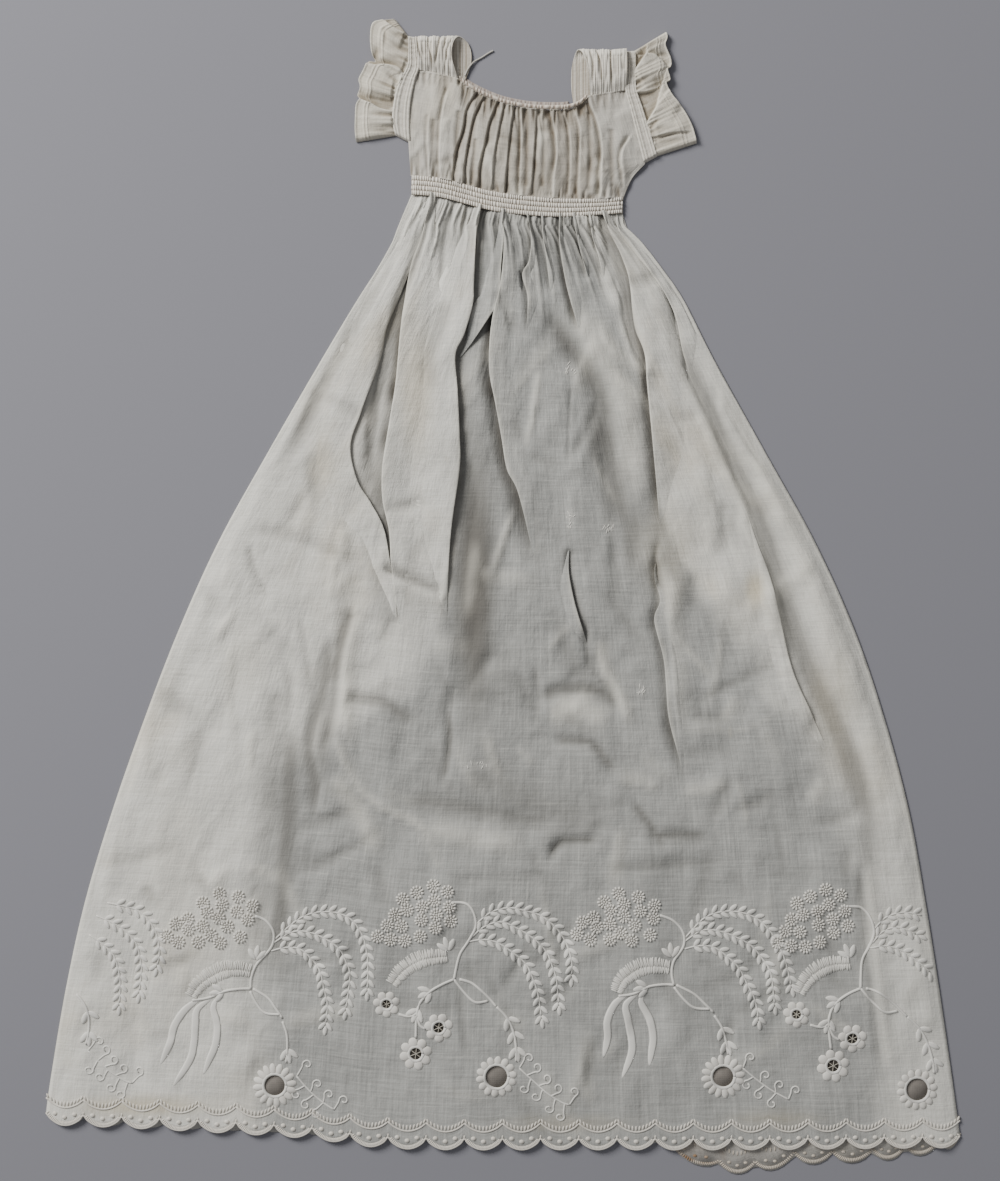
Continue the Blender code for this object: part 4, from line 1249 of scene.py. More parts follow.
def tendril(x, y, stem, turn):
    """A fine thread from a stem that winds up into a small round curl."""
    line = np.array(stem, float)
    root = line[np.argmin(np.hypot(line[:, 0] - x, line[:, 1] - y))]
    start = math.atan2(root[1] - y, root[0] - x)
    curl = [(x + r * math.cos(start + turn * a), y + r * math.sin(start + turn * a))
            for a, r in zip(np.linspace(0.5, 6.6, 13), np.linspace(4.8, 1.6, 13))]
    return [tuple(root)] + curl


print("a leaf is", LEAF_LENGTH, "mm long")

# %% [markdown]
# The same tables serve every spray. Each one is moved along the border and leans with the
# flare of the skirt, and whatever would run over the side of the gown is left out, because the
# seam takes it there.

# %% Work the sprays
dice = np.random.default_rng(12)
leaves, petals_all, strokes, threads, holes = [], [], [], [], []
for spray in SPRAYS:
    kind = KINDS[spray.kind]
    for x, y in moved(spray, kind.rosettes):
        if inside(x, y, 8):
            petals_all += rosette(x, y, dice)
    for frond in kind.fronds:
        kept = [p for p in moved(spray, frond) if inside(*p)]
        if len(kept) > 2:
            leaves += [leaf for leaf in leafy(kept) if inside(leaf.x, leaf.y)]
            threads.append(thread_along(kept, 1.6, 1.6))
    for stem in kind.stems:
        kept = [p for p in moved(spray, stem) if inside(*p)]
        if len(kept) > 2:
            threads.append(thread_along(kept, 2.5, 2.2))
    for sprig in kind.sprigs:
        kept = [p for p in moved(spray, sprig) if inside(*p, 9)]
        if len(kept) > 1:
            leaves += leafy(kept, 13.0, 1.3)
    arc = [p for p in moved(spray, kind.plume) if inside(*p, 12)]
    if len(arc) > 3:
        strokes += plume(arc, dice)
    for item in kind.flowers:
        x, y = moved(spray, (item.x, item.y))[0]
        if inside(x, y, item.hole + 2):
            petals, ring = flower(x, y, item.petals, item.radius, item.hole)
            petals_all += [petal for petal in petals if inside(petal.x, petal.y, 2)]
            threads.append(thread_along(ring, 3.2, 2.4))
            holes.append((x, y, item.hole))
    for ribbon in kind.ribbons:
        threads.append(thread_along(moved(spray, ribbon), 8.0, 1.8, taper=0.85))
    scroll = [p for p in moved(spray, kind.scroll) if inside(*p)]
    if len(scroll) > 2:
        threads.append(thread_along(scroll, 1.7, 1.6))
        stem = smooth_path(scroll, 12)
        for k, (x, y) in enumerate(moved(spray, kind.curls)):
            if inside(x, y, 9):
                threads.append(thread_along(tendril(x, y, stem, 1 if k % 2 else -1), 1.6, 1.5))
print("leaves:", len(leaves), "petals:", len(petals_all), "lines:", len(threads))

# %% [markdown]
# The holes of the eyelets are cut a little wider than their flowers' eyes, under the ring of
# stitches. Then the panel gets its thickness, and all the stitches are joined and lifted on to it.

# %% Cut the eyelets and finish the front panel
EYELET_CUT = 2.4
cut_holes(skirt_front, [(x, y, hole + EYELET_CUT) for x, y, hole in holes])
finish_cloth(skirt_front, skirt_muslin, "skirt_front")


def on_skirt(x, y):
    """Height of the skirt's upper surface at each place."""
    return skirt_form(x, y)[0]


border = join_parts("border_embroidery", [scatter(LEAF_SHAPE, leaves)] + threads, on_skirt,
                    border_floss)
petal_cotton = floss("petal cotton", (220, 216, 207), (188, 183, 172))
flowers = join_parts("border_flowers", [scatter(DOT_SHAPE, petals_all)], on_skirt,
                     petal_cotton)
plumes = join_parts("border_plumes", [scatter(DOT_SHAPE, strokes)], on_skirt,
                    floss("plume cotton", (222, 219, 210), (192, 188, 178)))

# %% [markdown]
# Inside each eyelet a few threads of the drawn ground are left. Under them lies a disc coloured
# with painted shade, which stands for the dark of the gown's inside showing between the threads.

# %% Net in the eyelets
def net_over_shade_material(name, shade, threads, share):
    """Fine drawn threads over painted shade that stands for the dark inside the gown."""
    material, shader, start = new_material(name, 0.95)
    place = start.node("ShaderNodeTexCoord", output=3)
    across = start.node("ShaderNodeSeparateXYZ", {}, {0: place})
    upwards = start.node("ShaderNodeSeparateXYZ", {}, {0: place}, output=1)
    columns = start.maths("PINGPONG", across, NET_ACROSS) * (1 / NET_ACROSS)
    rows = start.maths("PINGPONG", upwards, NET_UPWARDS) * (1 / NET_UPWARDS)
    thread = start.maths("MAXIMUM", rows.ramp(0.72, 0.95), columns.ramp(0.72, 0.95))
    cloud = start.noise(place, 160.0, 3.0)
    base = start.shaded(tone(*shade)[:3], 0.7 + 0.6 * cloud)
    colour = start.mix(thread * share, base, tone(*threads))
    start.tree.links.new(colour.socket, shader.inputs["Base Color"])
    return material


def disc(x, y, radius, sides=24):
    """A flat round of net over painted shade."""
    angles = np.linspace(0, 2 * np.pi, sides + 1)[:-1]
    rim = np.stack([x + radius * np.cos(angles), y + radius * np.sin(angles)], axis=1)
    points = np.vstack([rim, rim, [[x, y]], [[x, y]]])
    points = np.column_stack([points, np.repeat([0.0, -0.3, 0.0, -0.3], [sides, sides, 1, 1])])
    top, low = 2 * sides, 2 * sides + 1
    faces = []
    for i in range(sides):
        n = (i + 1) % sides
        faces += [(i, n, top), (sides + n, sides + i, low), (i, sides + i, sides + n, n)]
    return points, faces


NET_ACROSS, NET_UPWARDS = 0.8 * MM, 0.9 * MM
NET_SINK = 0.6
LARGE_EYELET = 8.0
large = [hole for hole in holes if hole[2] > LARGE_EYELET]
small = [hole for hole in holes if hole[2] <= LARGE_EYELET]
# The painted shade of the small eyelets is darker than that of the large ones.
net_large = join_parts("eyelet_net_over_shade_large", [disc(x, y, hole + 2.6) for x, y, hole in large],
                       on_skirt, net_over_shade_material("large eyelet net over painted shade", (112, 106, 99),
                                              (140, 134, 125), 0.35), NET_SINK)
net_small = join_parts("eyelet_net_over_shade_small", [disc(x, y, hole + 2.6) for x, y, hole in small],
                       on_skirt, net_over_shade_material("small eyelet net over painted shade", (52, 47, 41),
                                              (96, 90, 80), 0.3), NET_SINK)
spokes = []
for x, y, hole in small:
    for turn in (0.4, 1.45, 2.5):
        reach = np.array([math.cos(turn), math.sin(turn)]) * (hole + 0.8)
        middle = np.array([x, y])
        spokes.append(thread_along([middle - reach, middle, middle + reach], 0.7, 0.6, 1.0))
web = join_parts("eyelet_spokes", spokes, on_skirt,
                 floss("eyelet thread", (190, 184, 170), (150, 144, 130)))

# %% [markdown]
# A gown this old was mended. Where the muslin wore through, a few white threads were run
# across the place by hand.

# %% Darns
darn_dice = np.random.default_rng(8)
darning = []
for spot in DARNS:
    for _ in range(DARN_THREADS):
        x = spot.x + spot.wide * darn_dice.uniform(-0.9, 0.9)
        y = spot.y + spot.tall * darn_dice.uniform(-0.8, 0.8)
        angle = math.pi / 2 + darn_dice.normal(0, 0.5)
        darning.append(Stitch(x, y, angle, darn_dice.uniform(2.5, 6.5), 0.9, 1.2))
mends = join_parts("darning", [scatter(DOT_SHAPE, darning)], on_skirt,
                   floss("darning thread", (222, 219, 210), (190, 186, 176)))

# %% [markdown]
# ## Scalloped hem
#
# The hem is finished with buttonhole stitches, side by side along every scallop, over a line
# of small ticks and three padded dots in each scallop.

# %% Hem stitches
EDGE_STITCHES, TICKS = 26, 11
BACK_EDGE_STITCHES, BACK_TICKS = 24, 9


def hem_edge(line, count, steps):
    """Places along a scalloped hem, and the direction out of the cloth at each."""
    share = np.linspace(0, 1, steps)
    edge = smooth_path(line, steps - 1)
    edge[:, 1] -= scallop_drop(share, count)
    return edge, directions(edge)


def hem_stitches(line, count, surface, name, material):
    """All the stitching along one hem, joined in one piece."""
    edge, heading = hem_edge(line, count, count * EDGE_STITCHES + 1)
    stitches = [Stitch(x - hy * 1.5, y + hx * 1.5, math.atan2(hx, -hy), 4.0, 1.8, 1.9)
                for (x, y), (hx, hy) in zip(edge, heading)]
    lines = []
    cusps = smooth_path(line, count)
    for (ax, ay), (bx, by) in zip(cusps, cusps[1:]):
        def on_arc(share, up):
            arc = math.sin(math.pi * share) ** 0.8
            return ax + (bx - ax) * share, ay + (by - ay) * share + up - 8.0 * arc
        for k in range(TICKS):
            share = (k + 0.5) / TICKS
            lean = math.cos(math.pi * share) * 0.45
            stitches.append(Stitch(*on_arc(share, 17.5), math.pi / 2 + lean, 5.0, 2.0, 2.2))
        lines.append(thread_along([on_arc(share, 14.2) for share in np.linspace(0, 1, 9)], 1.7, 1.8))
        for share, drop in ((0.24, -0.2), (0.5, 2.6), (0.76, -0.2)):
            stitches.append(Stitch(ax + (bx - ax) * share, ay + (by - ay) * share - drop, 0,
                                   4.8, 4.2, 2.8))
    rim = thread_along(edge[::2] + np.stack([heading[::2, 1], -heading[::2, 0]], axis=1) * -0.2,
                       1.8, 1.8, spacing=1.6)
    return join_parts(name, [scatter(DOT_SHAPE, stitches), rim] + lines, surface, material)


front_hem = hem_stitches(HEM_FRONT, SCALLOPS, on_skirt, "hem_stitches_front",
                         floss("hem cotton", (216, 210, 199), (186, 179, 166)))

# %% [markdown]
# ## The skirt's back
#
# The back panel has the same cut. It lies flat on the surface under the front and shows only
# at the right, where its scalloped hem hangs a little lower, with brown stains on it.

# %% The skirt's back panel
BACK_TOP = 0.75
BACK_COLUMNS, BACK_ROWS = 150, 60
BACK_STAINS = [Spot(160, -506, 11, 7, 1.0), Spot(178, -511, 10, 6, 0.9), Spot(196, -514, 8, 6, 0.7),
               Spot(232, -500, 40, 10, 0.25)]
HIDDEN_SCALLOPS = 15


def back_hem():
    """The line of the back hem's cusps, and its edge with the scallops below it."""
    cusps = np.vstack([smooth_path(HEM_BACK, HIDDEN_SCALLOPS), np.array(HEM_BACK_SHOWN, float)])
    steps = 8
    edge = []
    for a, b in zip(cusps, cusps[1:]):
        for k in range(steps):
            share = k / steps
            x, y = a + (b - a) * share
            edge.append((x, y - SCALLOP_DEPTH * math.sin(math.pi * share) ** 0.7))
    edge.append(tuple(cusps[-1]))
    return cusps, np.array(edge)


back_cusps, back_edge = back_hem()
skirt_back, u, v = add_cloth("skirt_back_cloth", BACK_COLUMNS, BACK_ROWS)
back_waist = smooth_path(WAIST_BOTTOM, 60)
flat_back = fill_between(back_edge, back_waist, *SKIRT_EDGES, u, v)
level_back = fill_between(smooth_path(back_cusps[::2], 60), back_waist, *SKIRT_EDGES, u, v)
near_hem = 1 - smooth_step(0, 0.05, v)[:, None]
flat_back = flat_back * near_hem + level_back * (1 - near_hem)


def on_back(x, y):
    """Height of the back panel's upper surface."""
    return BACK_TOP + 0.15 * soft_noise.at(x, y, 26) * np.ones_like(x)


back_height = on_back(*flat_back.T)
set_places(skirt_back, np.column_stack([flat_back, back_height]))
lay_weave(skirt_back, (u - 0.5) * WEAVE_WIDE, v * WEAVE_LONG)
paint(skirt_back, layers=0.7 * np.ones_like(u), stain=spots(*flat_back.T, BACK_STAINS),
      trough=0.4 * np.clip(soft_noise.at(*flat_back.T, 17), 0, 1))
finish_cloth(skirt_back, muslin("skirt back muslin", SKIRT_THIN, (176, 171, 162), SKIRT_FOLD_SHADE,
                                (120, 92, 66)), "skirt_back")


def back_stitches():
    """The stitching of the part of the back's hem that shows."""
    cusps = np.array(HEM_BACK_SHOWN, float)
    stitches = []
    for a, b in zip(cusps, cusps[1:]):
        for k in range(BACK_EDGE_STITCHES):
            share = (k + 0.5) / BACK_EDGE_STITCHES
            x, y = a + (b - a) * share
            y -= SCALLOP_DEPTH * math.sin(math.pi * share) ** 0.7 - 1.5
            slope = math.cos(math.pi * share)
            stitches.append(Stitch(x, y, math.pi / 2 - slope, 3.6, 1.7, 1.5))
        for k in range(BACK_TICKS):
            share = (k + 0.5) / BACK_TICKS
            x, y = a + (b - a) * share
            stitches.append(Stitch(x, y + 15.5 - 7.5 * math.sin(math.pi * share), math.pi / 2,
                                   4.6, 1.7, 1.5))
        for share, drop in ((0.27, 0.5), (0.5, 3.2), (0.73, 0.5)):
            x, y = a + (b - a) * share
            stitches.append(Stitch(x, y - drop, 0, 3.8, 3.0, 1.9))
    return stitches


back_hem_piece = join_parts("hem_stitches_back", [scatter(DOT_SHAPE, back_stitches())], on_back,
                            floss("back hem cotton", (196, 187, 172), (162, 150, 134),
                                  stained=(0.208, 0.172)))

# %% [markdown]
# ## Waistband
#
# Four fine cords are run through the band and the cloth is drawn up on them, so the band has
# four raised lines with tight little puckers between them.

# %% Waistband
BAND_CORDS = 4
BAND_PUCKERS = 88


def corded(u, v, cords, puckers, cord_rise, pucker_rise, seed=0.0):
    """Height of cloth drawn up on cords that run across it, and how deep it is between them."""
    row = np.clip(np.floor(v * cords), 0, cords - 1)
    across = np.abs(np.sin(np.pi * v * cords))
    wander = 2.2 * np.sin(u * 37 + seed + row * 1.9) + 1.7 * np.sin(u * 91 + seed - row * 2.3)
    pucker = 0.5 + 0.5 * np.sin(2 * np.pi * (u * puckers + row * 0.37) + wander)
    height = cord_rise * across ** 0.7 * (0.55 + 0.45 * pucker) + pucker_rise * pucker
    deep = np.clip(1.15 - across ** 0.5 - 0.35 * pucker, 0, 1) + 0.45 * (1 - pucker) ** 2 * across
    return height, np.clip(deep, 0, 1)


def band_edges():
    top = smooth_path([(x, y + 0.6) for x, y in WAIST_TOP], 60)
    bottom = smooth_path([(x, y - 0.6) for x, y in WAIST_BOTTOM], 60)
    return bottom, top, smooth_path([bottom[0], top[0]], 4), smooth_path([bottom[-1], top[-1]], 4)


def crown_of(u, power=4):
    return 1 - (2 * u - 1) ** power


waistband, u, v = add_cloth("waistband_front_cloth", 420, 32)
flat_band = fill_between(*band_edges(), u, v)
cords, deep = corded(u, v, BAND_CORDS, BAND_PUCKERS, 1.1, 0.7)
band_height = 3.0 + WAIST_CROWN * crown_of(u) + cords
band_height -= 0.9 * (1 - smooth_step(0, 0.02, np.minimum(u, 1 - u)))
set_places(waistband, np.column_stack([flat_band, band_height]))
lay_weave(waistband, (u - 0.5) * 400, v * 20)
# Painted shade between the cords and puckers, also lowering the layer share there, and a painted
# highlight on the cords.
paint(waistband, layers=1 - 0.5 * deep, trough=deep, light=0.9 * np.clip(cords / 2 - 0.3, 0, 1))
# Colours of the band: cloth, layered cloth, painted shade, stain.
BAND_COLOURS = [(202, 195, 181), (230, 223, 210), (108, 91, 69), (170, 150, 120)]
finish_cloth(waistband, muslin("front waistband", *BAND_COLOURS, bump=0.3),
             "waistband_front")

waist_back, u, v = add_cloth("waistband_back_cloth", 160, 16)
flat_band = fill_between(*band_edges(), u, v)
cords, deep = corded(u, v, BAND_CORDS, 40, 0.32, 0.12)
set_places(waist_back, np.column_stack([flat_band, 0.7 + cords]))
lay_weave(waist_back, (u - 0.5) * 400, v * 20)
# Painted shade between the cords.
paint(waist_back, trough=0.5 * deep)
finish_cloth(waist_back, muslin("back waistband", *BAND_COLOURS), "waistband_back")

# %% [markdown]
# ## Bodice
#
# Between the neck and the band the front is gathered into upright folds, unevenly spaced and
# deepest near the middle, while the strips beside the armholes stay smooth. The tables give
# the edges of its small pleats and the soft folds between them.

# %% Folds of the bodice
BODICE_PLIES = [
    Ply(0.8, 2.2, 5.5, 2.4, 1.2, RIGHT, [(-69, 439.8), (-69.9, 419.5), (-69, 401.1), (-68.1, 379)]),
    Ply(0.9, 2.6, 5.5, 2.8, 1.2, RIGHT, [(-51.5, 463.7), (-55.2, 449), (-58, 428.7), (-58.9, 401.1),
        (-58, 377.2)]),
    Ply(1.0, 3.0, 6.4, 2.9, 1.3, LEFT, [(-25.8, 460), (-34, 446.2), (-36.8, 428.7), (-44.2, 403.9),
        (-46.9, 375.4)]),
    Ply(1.0, 2.8, 5.5, 2.8, 1.2, LEFT, [(-19.3, 455.4), (-26.7, 439.8), (-31.3, 419.5), (-35, 396.5),
        (-36.8, 373.5)]),
    Ply(1.0, 3.0, 5.5, 2.9, 1.2, LEFT, [(-5.5, 452.6), (-12.9, 433.3), (-16.6, 414.9), (-21.2, 395.6),
        (-23, 371.7)]),
    Ply(1.0, 2.6, 4.6, 2.6, 1.2, LEFT, [(0.9, 450.8), (-3.7, 428.7), (-8.3, 401.1), (-10.1, 369.8)]),
    Ply(1.0, 2.8, 4.6, 2.6, 1.2, LEFT, [(10.1, 449), (6.4, 424.1), (3.7, 396.5), (1.8, 368)]),
    Ply(1.0, 2.8, 4.6, 2.6, 1.2, RIGHT, [(15.6, 448), (16.6, 424.1), (15.6, 393.8), (14.7, 366.2)]),
    Ply(1.0, 3.0, 5.5, 2.8, 1.2, LEFT, [(31.3, 447.1), (29.4, 419.5), (27.6, 391.9), (25.8, 366.2)]),
    Ply(1.2, 4.0, 6.4, 4.0, 1.2, RIGHT, [(42.3, 447.1), (46.9, 428.7), (48.8, 405.7), (46, 384.6),
        (45.1, 364.3)]),
    Ply(1.0, 2.6, 4.6, 2.6, 1.2, RIGHT, [(55.2, 447.1), (60.7, 424.1), (61.6, 396.5), (59.8, 366.2)]),
    Ply(1.0, 2.6, 4.6, 2.6, 1.2, RIGHT, [(63.5, 448), (69.9, 428.7), (69.9, 401.1), (68.1, 366.2)]),
    Ply(1.2, 3.2, 7.4, 3.3, 1.2, RIGHT, [(78.2, 453.6), (86.5, 433.3), (90.2, 410.3), (89.2, 387.3),
        (89.2, 366.2)]),
    Ply(1.0, 2.6, 7.4, 3.1, 1.0, RIGHT, [(115, 419.5), (109.5, 410.3), (107.6, 399.3), (109.5, 386.4),
        (111.3, 373.5)]),
]
BODICE_FOLDS = [
    Fold(-1.2, 2.8, 2.8, [(-63.5, 437.9), (-64.4, 410.3), (-63.5, 380.9)]),
    Fold(-1.4, 2.4, 2.4, [(-40.5, 445.3), (-42.3, 419.5), (-43.2, 386.4)]),
    Fold(-1.4, 2.2, 2.2, [(-24.8, 419.5), (-27.6, 395.6), (-28.5, 375.4)]),
    Fold(-1.4, 2.0, 2.0, [(22.1, 445.3), (22.1, 410.3), (21.2, 373.5)]),
    Fold(-1.4, 2.2, 2.2, [(36.8, 445.3), (37.7, 419.5), (35.9, 373.5)]),
    Fold(-1.4, 2.2, 2.2, [(78.2, 445.3), (80, 410.3), (78.2, 369.8)]),
    Fold(-1.2, 2.8, 2.8, [(99.4, 428.7), (99.4, 401.1), (100.3, 373.5)]),
    Fold(0.7, 4.6, 4.6, [(-51.5, 437.9), (-51.5, 410.3), (-52.4, 380.9)]),
]
print("bodice pleats:", len(BODICE_PLIES), "folds:", len(BODICE_FOLDS))

# %% [markdown]
# Short tucks start on the seams where the muslin is drawn up: below the neck casing, above the
# band and under the straps. They are seeded, so every run has the same ones.

# %% Bodice front
SEAM_OVERLAP = 0.8


def tucks_from(line, spread, seed, count, heading, reach, depth):
    """Short troughs that start on a seam, for cloth that is drawn up on it."""
    dice = np.random.default_rng(seed)
    tucks = []
    for k in range(count):
        share = (k + dice.uniform(0.1, 0.9)) / count
        x, y = smooth_path(line, 60)[int(share * 60)]
        step = dice.uniform(*reach) / 2
        aside = spread * (share - 0.5) + dice.normal(0, 0.12)
        path = [(x, y), (x + aside * step, y + heading * step),
                (x + 2.2 * aside * step, y + heading * 2 * step)]
        wide = dice.uniform(0.9, 1.7)
        tucks.append(Fold(-dice.uniform(*depth), wide, wide * dice.uniform(0.8, 1.8), path, 1.3))
    return tucks


NECK_TUCKS = tucks_from(NECK, 0.1, 31, 44, -1, (6, 30), (0.9, 2.2))
BAND_TUCKS = tucks_from(WAIST_TOP, -0.1, 32, 52, 1, (6, 30), (0.8, 2.0))
STRAP_TUCKS = (tucks_from([(-80, 482), (-62, 479), (-44, 476)], 0.1, 33, 9, -1, (8, 26), (0.7, 1.4))
               + tucks_from([(81, 460), (96, 462), (112, 465)], 0.1, 34, 9, -1, (8, 26), (0.7, 1.4)))
BODICE_CREASES = scatter_creases(35, 60, (-82, 112, 372, 462), (16, 56), (0.5, 1.4), (2.8, 6.5), 0.3)


def bodice_edges(side_steps=40):
    """The bodice's four edges: band, upper edge with the neck, and both sides."""
    sides = []
    for straight, table, count in ((BODICE_LEFT, SLEEVE_LEFT, ARMHOLE_STATIONS["left"]),
                                   (BODICE_RIGHT, SLEEVE_RIGHT, ARMHOLE_STATIONS["right"])):
        armhole = [(s.inner_x, s.inner_y) for s in table[:count]]
        low, high = smooth_path(straight, side_steps // 3), smooth_path(armhole, side_steps)
        sides.append(np.vstack([low[:-1], high]))
    sides[0][:, 0] -= SEAM_OVERLAP
    sides[1][:, 0] += SEAM_OVERLAP
    left_seam = smooth_path([sides[0][-1], NECK[0]], 6)
    right_seam = smooth_path([NECK[-1], sides[1][-1]], 6)
    upper = np.vstack([left_seam[:-1], smooth_path(NECK, 40)[:-1], right_seam])
    upper[:, 1] += SEAM_OVERLAP
    return smooth_path(WAIST_TOP, 52), upper, sides[0], sides[1]


def bodice_form(x, y, u):
    """Height of the gathered front, shade in its folds, and light on them."""
    height, trough, ridge = lay_folds(x, y, BODICE_FOLDS, 0.03, 0.05)
    tucks, tuck_dip, _ = lay_folds(x, y, NECK_TUCKS + BAND_TUCKS + STRAP_TUCKS, 0.02, 0.8)
    small, dip, bump = lay_folds(x, y, BODICE_CREASES, 0.3, 0.4)
    steps, shade, light = lay_plies(x, y, BODICE_PLIES, 0.02, 0.05)
    gathered = smooth_step(0.03, 0.09, u) * smooth_step(0.0, 0.05, 1 - u)
    swell = 0.8 * soft_noise.at(x * 2.4, y * 0.8, 26) + 0.4 * soft_noise.at(x * 2, y, 9)
    lift = 2.0 * crown_of(u, 6) + gathered * (0.95 * (height + steps) + 1.0) + tucks + small + swell
    # Painted shade in folds, beside pleat edges and in tucks; painted highlight on ridges, pleat edges
    # and swells.
    dark = np.maximum(np.clip(trough / 2.2, 0, 0.8), shade) * gathered
    dark = np.maximum(dark, np.clip(tuck_dip / 2, 0, 0.9)) + np.clip(dip / 4, 0, 0.3)
    bright = 0.9 * light + np.clip(ridge / 2 + bump / 2, 0, 0.6) + np.clip(swell - 0.3, 0, 0.4)
    return 2.9 + lift, np.clip(dark, 0, 0.95), np.clip(bright, 0, 1)


bodice, u, v = add_cloth("bodice_front_cloth", 280, 88)
flat_bodice = fill_between(*bodice_edges(), u, v)
height, dark, bright = bodice_form(*flat_bodice.T, u)
set_places(bodice, np.column_stack([flat_bodice, np.maximum(height, 1.6)]))
lay_weave(bodice, (u - 0.5) * 420, v * 90)
plain = np.maximum(smooth_step(0.28, 0.10, u), smooth_step(0.80, 0.92, u))
# Painted highlight also lifts the layer share; the muslin's third colour is the painted shade.
paint(bodice, layers=np.clip(plain + 0.45 * bright, 0, 1), trough=dark, light=bright)
finish_cloth(bodice, muslin("bodice front muslin", (166, 159, 146), (184, 179, 168), (92, 78, 58),
                            (150, 120, 90), streaks=0.7), "bodice_front")

bodice_back, u, v = add_cloth("bodice_back_cloth", 90, 28)
flat_inner = fill_between(*bodice_edges(), u, v)
set_places(bodice_back, np.column_stack([flat_inner, 0.7 + 0.25 * soft_noise.at(*flat_inner.T, 9)]))
lay_weave(bodice_back, (u - 0.5) * 420, v * 90)
paint(bodice_back, layers=0.4 * np.ones_like(u))
finish_cloth(bodice_back, muslin("bodice back muslin", (150, 144, 132), (172, 166, 152),
                                 (104, 88, 68), (150, 120, 90)), "bodice_back")

# %% [markdown]
# ## Neck casing
#
# A narrow casing of cream tape is sewn round the neck, and the drawstring inside it pulls it
# into small uneven puckers, with short dark tucks in the muslin below them.

# %% Neck casing, front and back
def add_casing(name, node, line, width, base, rise, puckers, colours):
    """A puckered tube of tape along a line, with its lower edge on the line."""
    piece, u, v = add_cloth(name, 240, 12)
    low = smooth_path(line, 60)
    high = low + np.array([0, width])
    flat = fill_between(low, high, smooth_path([low[0], high[0]], 3),
                        smooth_path([low[-1], high[-1]], 3), u, v)
    round_over = np.sin(np.pi * np.clip(v, 0.02, 0.98)) ** 0.6
    wander = 1.9 * np.sin(u * 31) + 1.3 * np.sin(u * 67 + 2) + 0.8 * np.sin(u * 13 + 1)
    pucker = 0.5 + 0.5 * np.sin(2 * np.pi * u * puckers + wander)
    height = base + rise * round_over * (0.6 + 0.4 * pucker)
    set_places(piece, np.column_stack([flat, height]))
    lay_weave(piece, u * 150, v * width)
    # Painted highlight on the crests of the puckers, also in the layer share, and painted shade between
    # them.
    paint(piece, layers=0.3 + 0.6 * pucker, trough=0.75 * (1 - pucker) ** 1.5 * round_over,
          light=0.6 * pucker * round_over)
    finish_cloth(piece, muslin(node.replace("_", " ") + " tape", *colours), node)
    return piece


# Colours of the tape: tape, layered tape, painted shade, stain.
CASING_COLOURS = [(186, 168, 150), (212, 200, 184), (104, 80, 60), (160, 120, 100)]
front_line = [(x, y + 0.3) for x, y in smooth_path(NECK, 40)[1:-1]]
back_line = [(x, y + 2.2) for x, y in smooth_path(NECK, 40)[3:-7]]
casing_front = add_casing("neck_casing_front", "neck_binding_front", front_line, 4.0, 4.4, 2.2, 31,
                          CASING_COLOURS)
casing_back = add_casing("neck_casing_back", "neck_binding_back", back_line, 6.0, 0.6, 0.6, 28,
                         [(150, 138, 128), (164, 152, 142), (120, 98, 88), (160, 120, 100)])

# %% [markdown]
# ## Shoulder straps
#
# Each strap is a band of gathered muslin that folds over the shoulder: it rises from its seam
# at the neck, turns over at the top and goes down the back. Its gathers run along it.

# %% Straps
LOOP_STEPS = 90
STRAP_LEFT_FOLDS = [
    Fold(-2.2, 2.2, 1.5, [(-79.1, 514.3), (-78.2, 506), (-76.4, 497.7), (-72.2, 487.6)], 1.1),
    Fold(-2.0, 1.3, 1.5, [(-68.3, 515.2), (-67.8, 501.8), (-65.3, 491.3), (-64.4, 480.2)]),
    Fold(-2.0, 1.7, 1.3, [(-57, 514.3), (-59.3, 502.3), (-61.6, 491.3), (-62.6, 482.1)]),
    Fold(-1.8, 1.3, 1.3, [(-51.5, 512.4), (-54.3, 500.5), (-54.3, 483.9)]),
    Fold(-1.2, 1.1, 1.1, [(-46.9, 509.7), (-51.1, 498.6), (-51.5, 485.8)]),
    Fold(1.0, 2.8, 2.8, [(-73.6, 514.3), (-72.7, 502.3), (-69, 487.6)]),
    Fold(0.8, 2.2, 2.2, [(-63.5, 513.4), (-63.9, 500.5), (-63.5, 487.6)]),
]
STRAP_RIGHT_FOLDS = [
    Fold(-1.6, 1.5, 1.5, [(80, 498.6), (81.9, 486.7), (82.3, 465.5)]),
    Fold(-2.4, 1.8, 1.3, [(85.6, 500.5), (89.2, 487.6), (90.2, 476.6), (90.6, 467.4)]),
    Fold(-2.6, 1.5, 1.1, [(98.9, 502.3), (98.9, 482.1), (99.8, 463.7)]),
    Fold(-1.2, 1.3, 1.3, [(74.5, 498.6), (78.2, 485.8), (79.1, 467.4)]),
    Fold(-1.2, 1.3, 1.3, [(92.9, 501.4), (94.8, 483.9), (95.2, 467.4)]),
    Fold(1.0, 2.2, 2.2, [(92, 501.4), (94.3, 491.3), (95.7, 474.7)]),
    Fold(-1.8, 0.9, 0.9, [(112.6, 501.4), (112.6, 483.9), (112.8, 471)]),
]


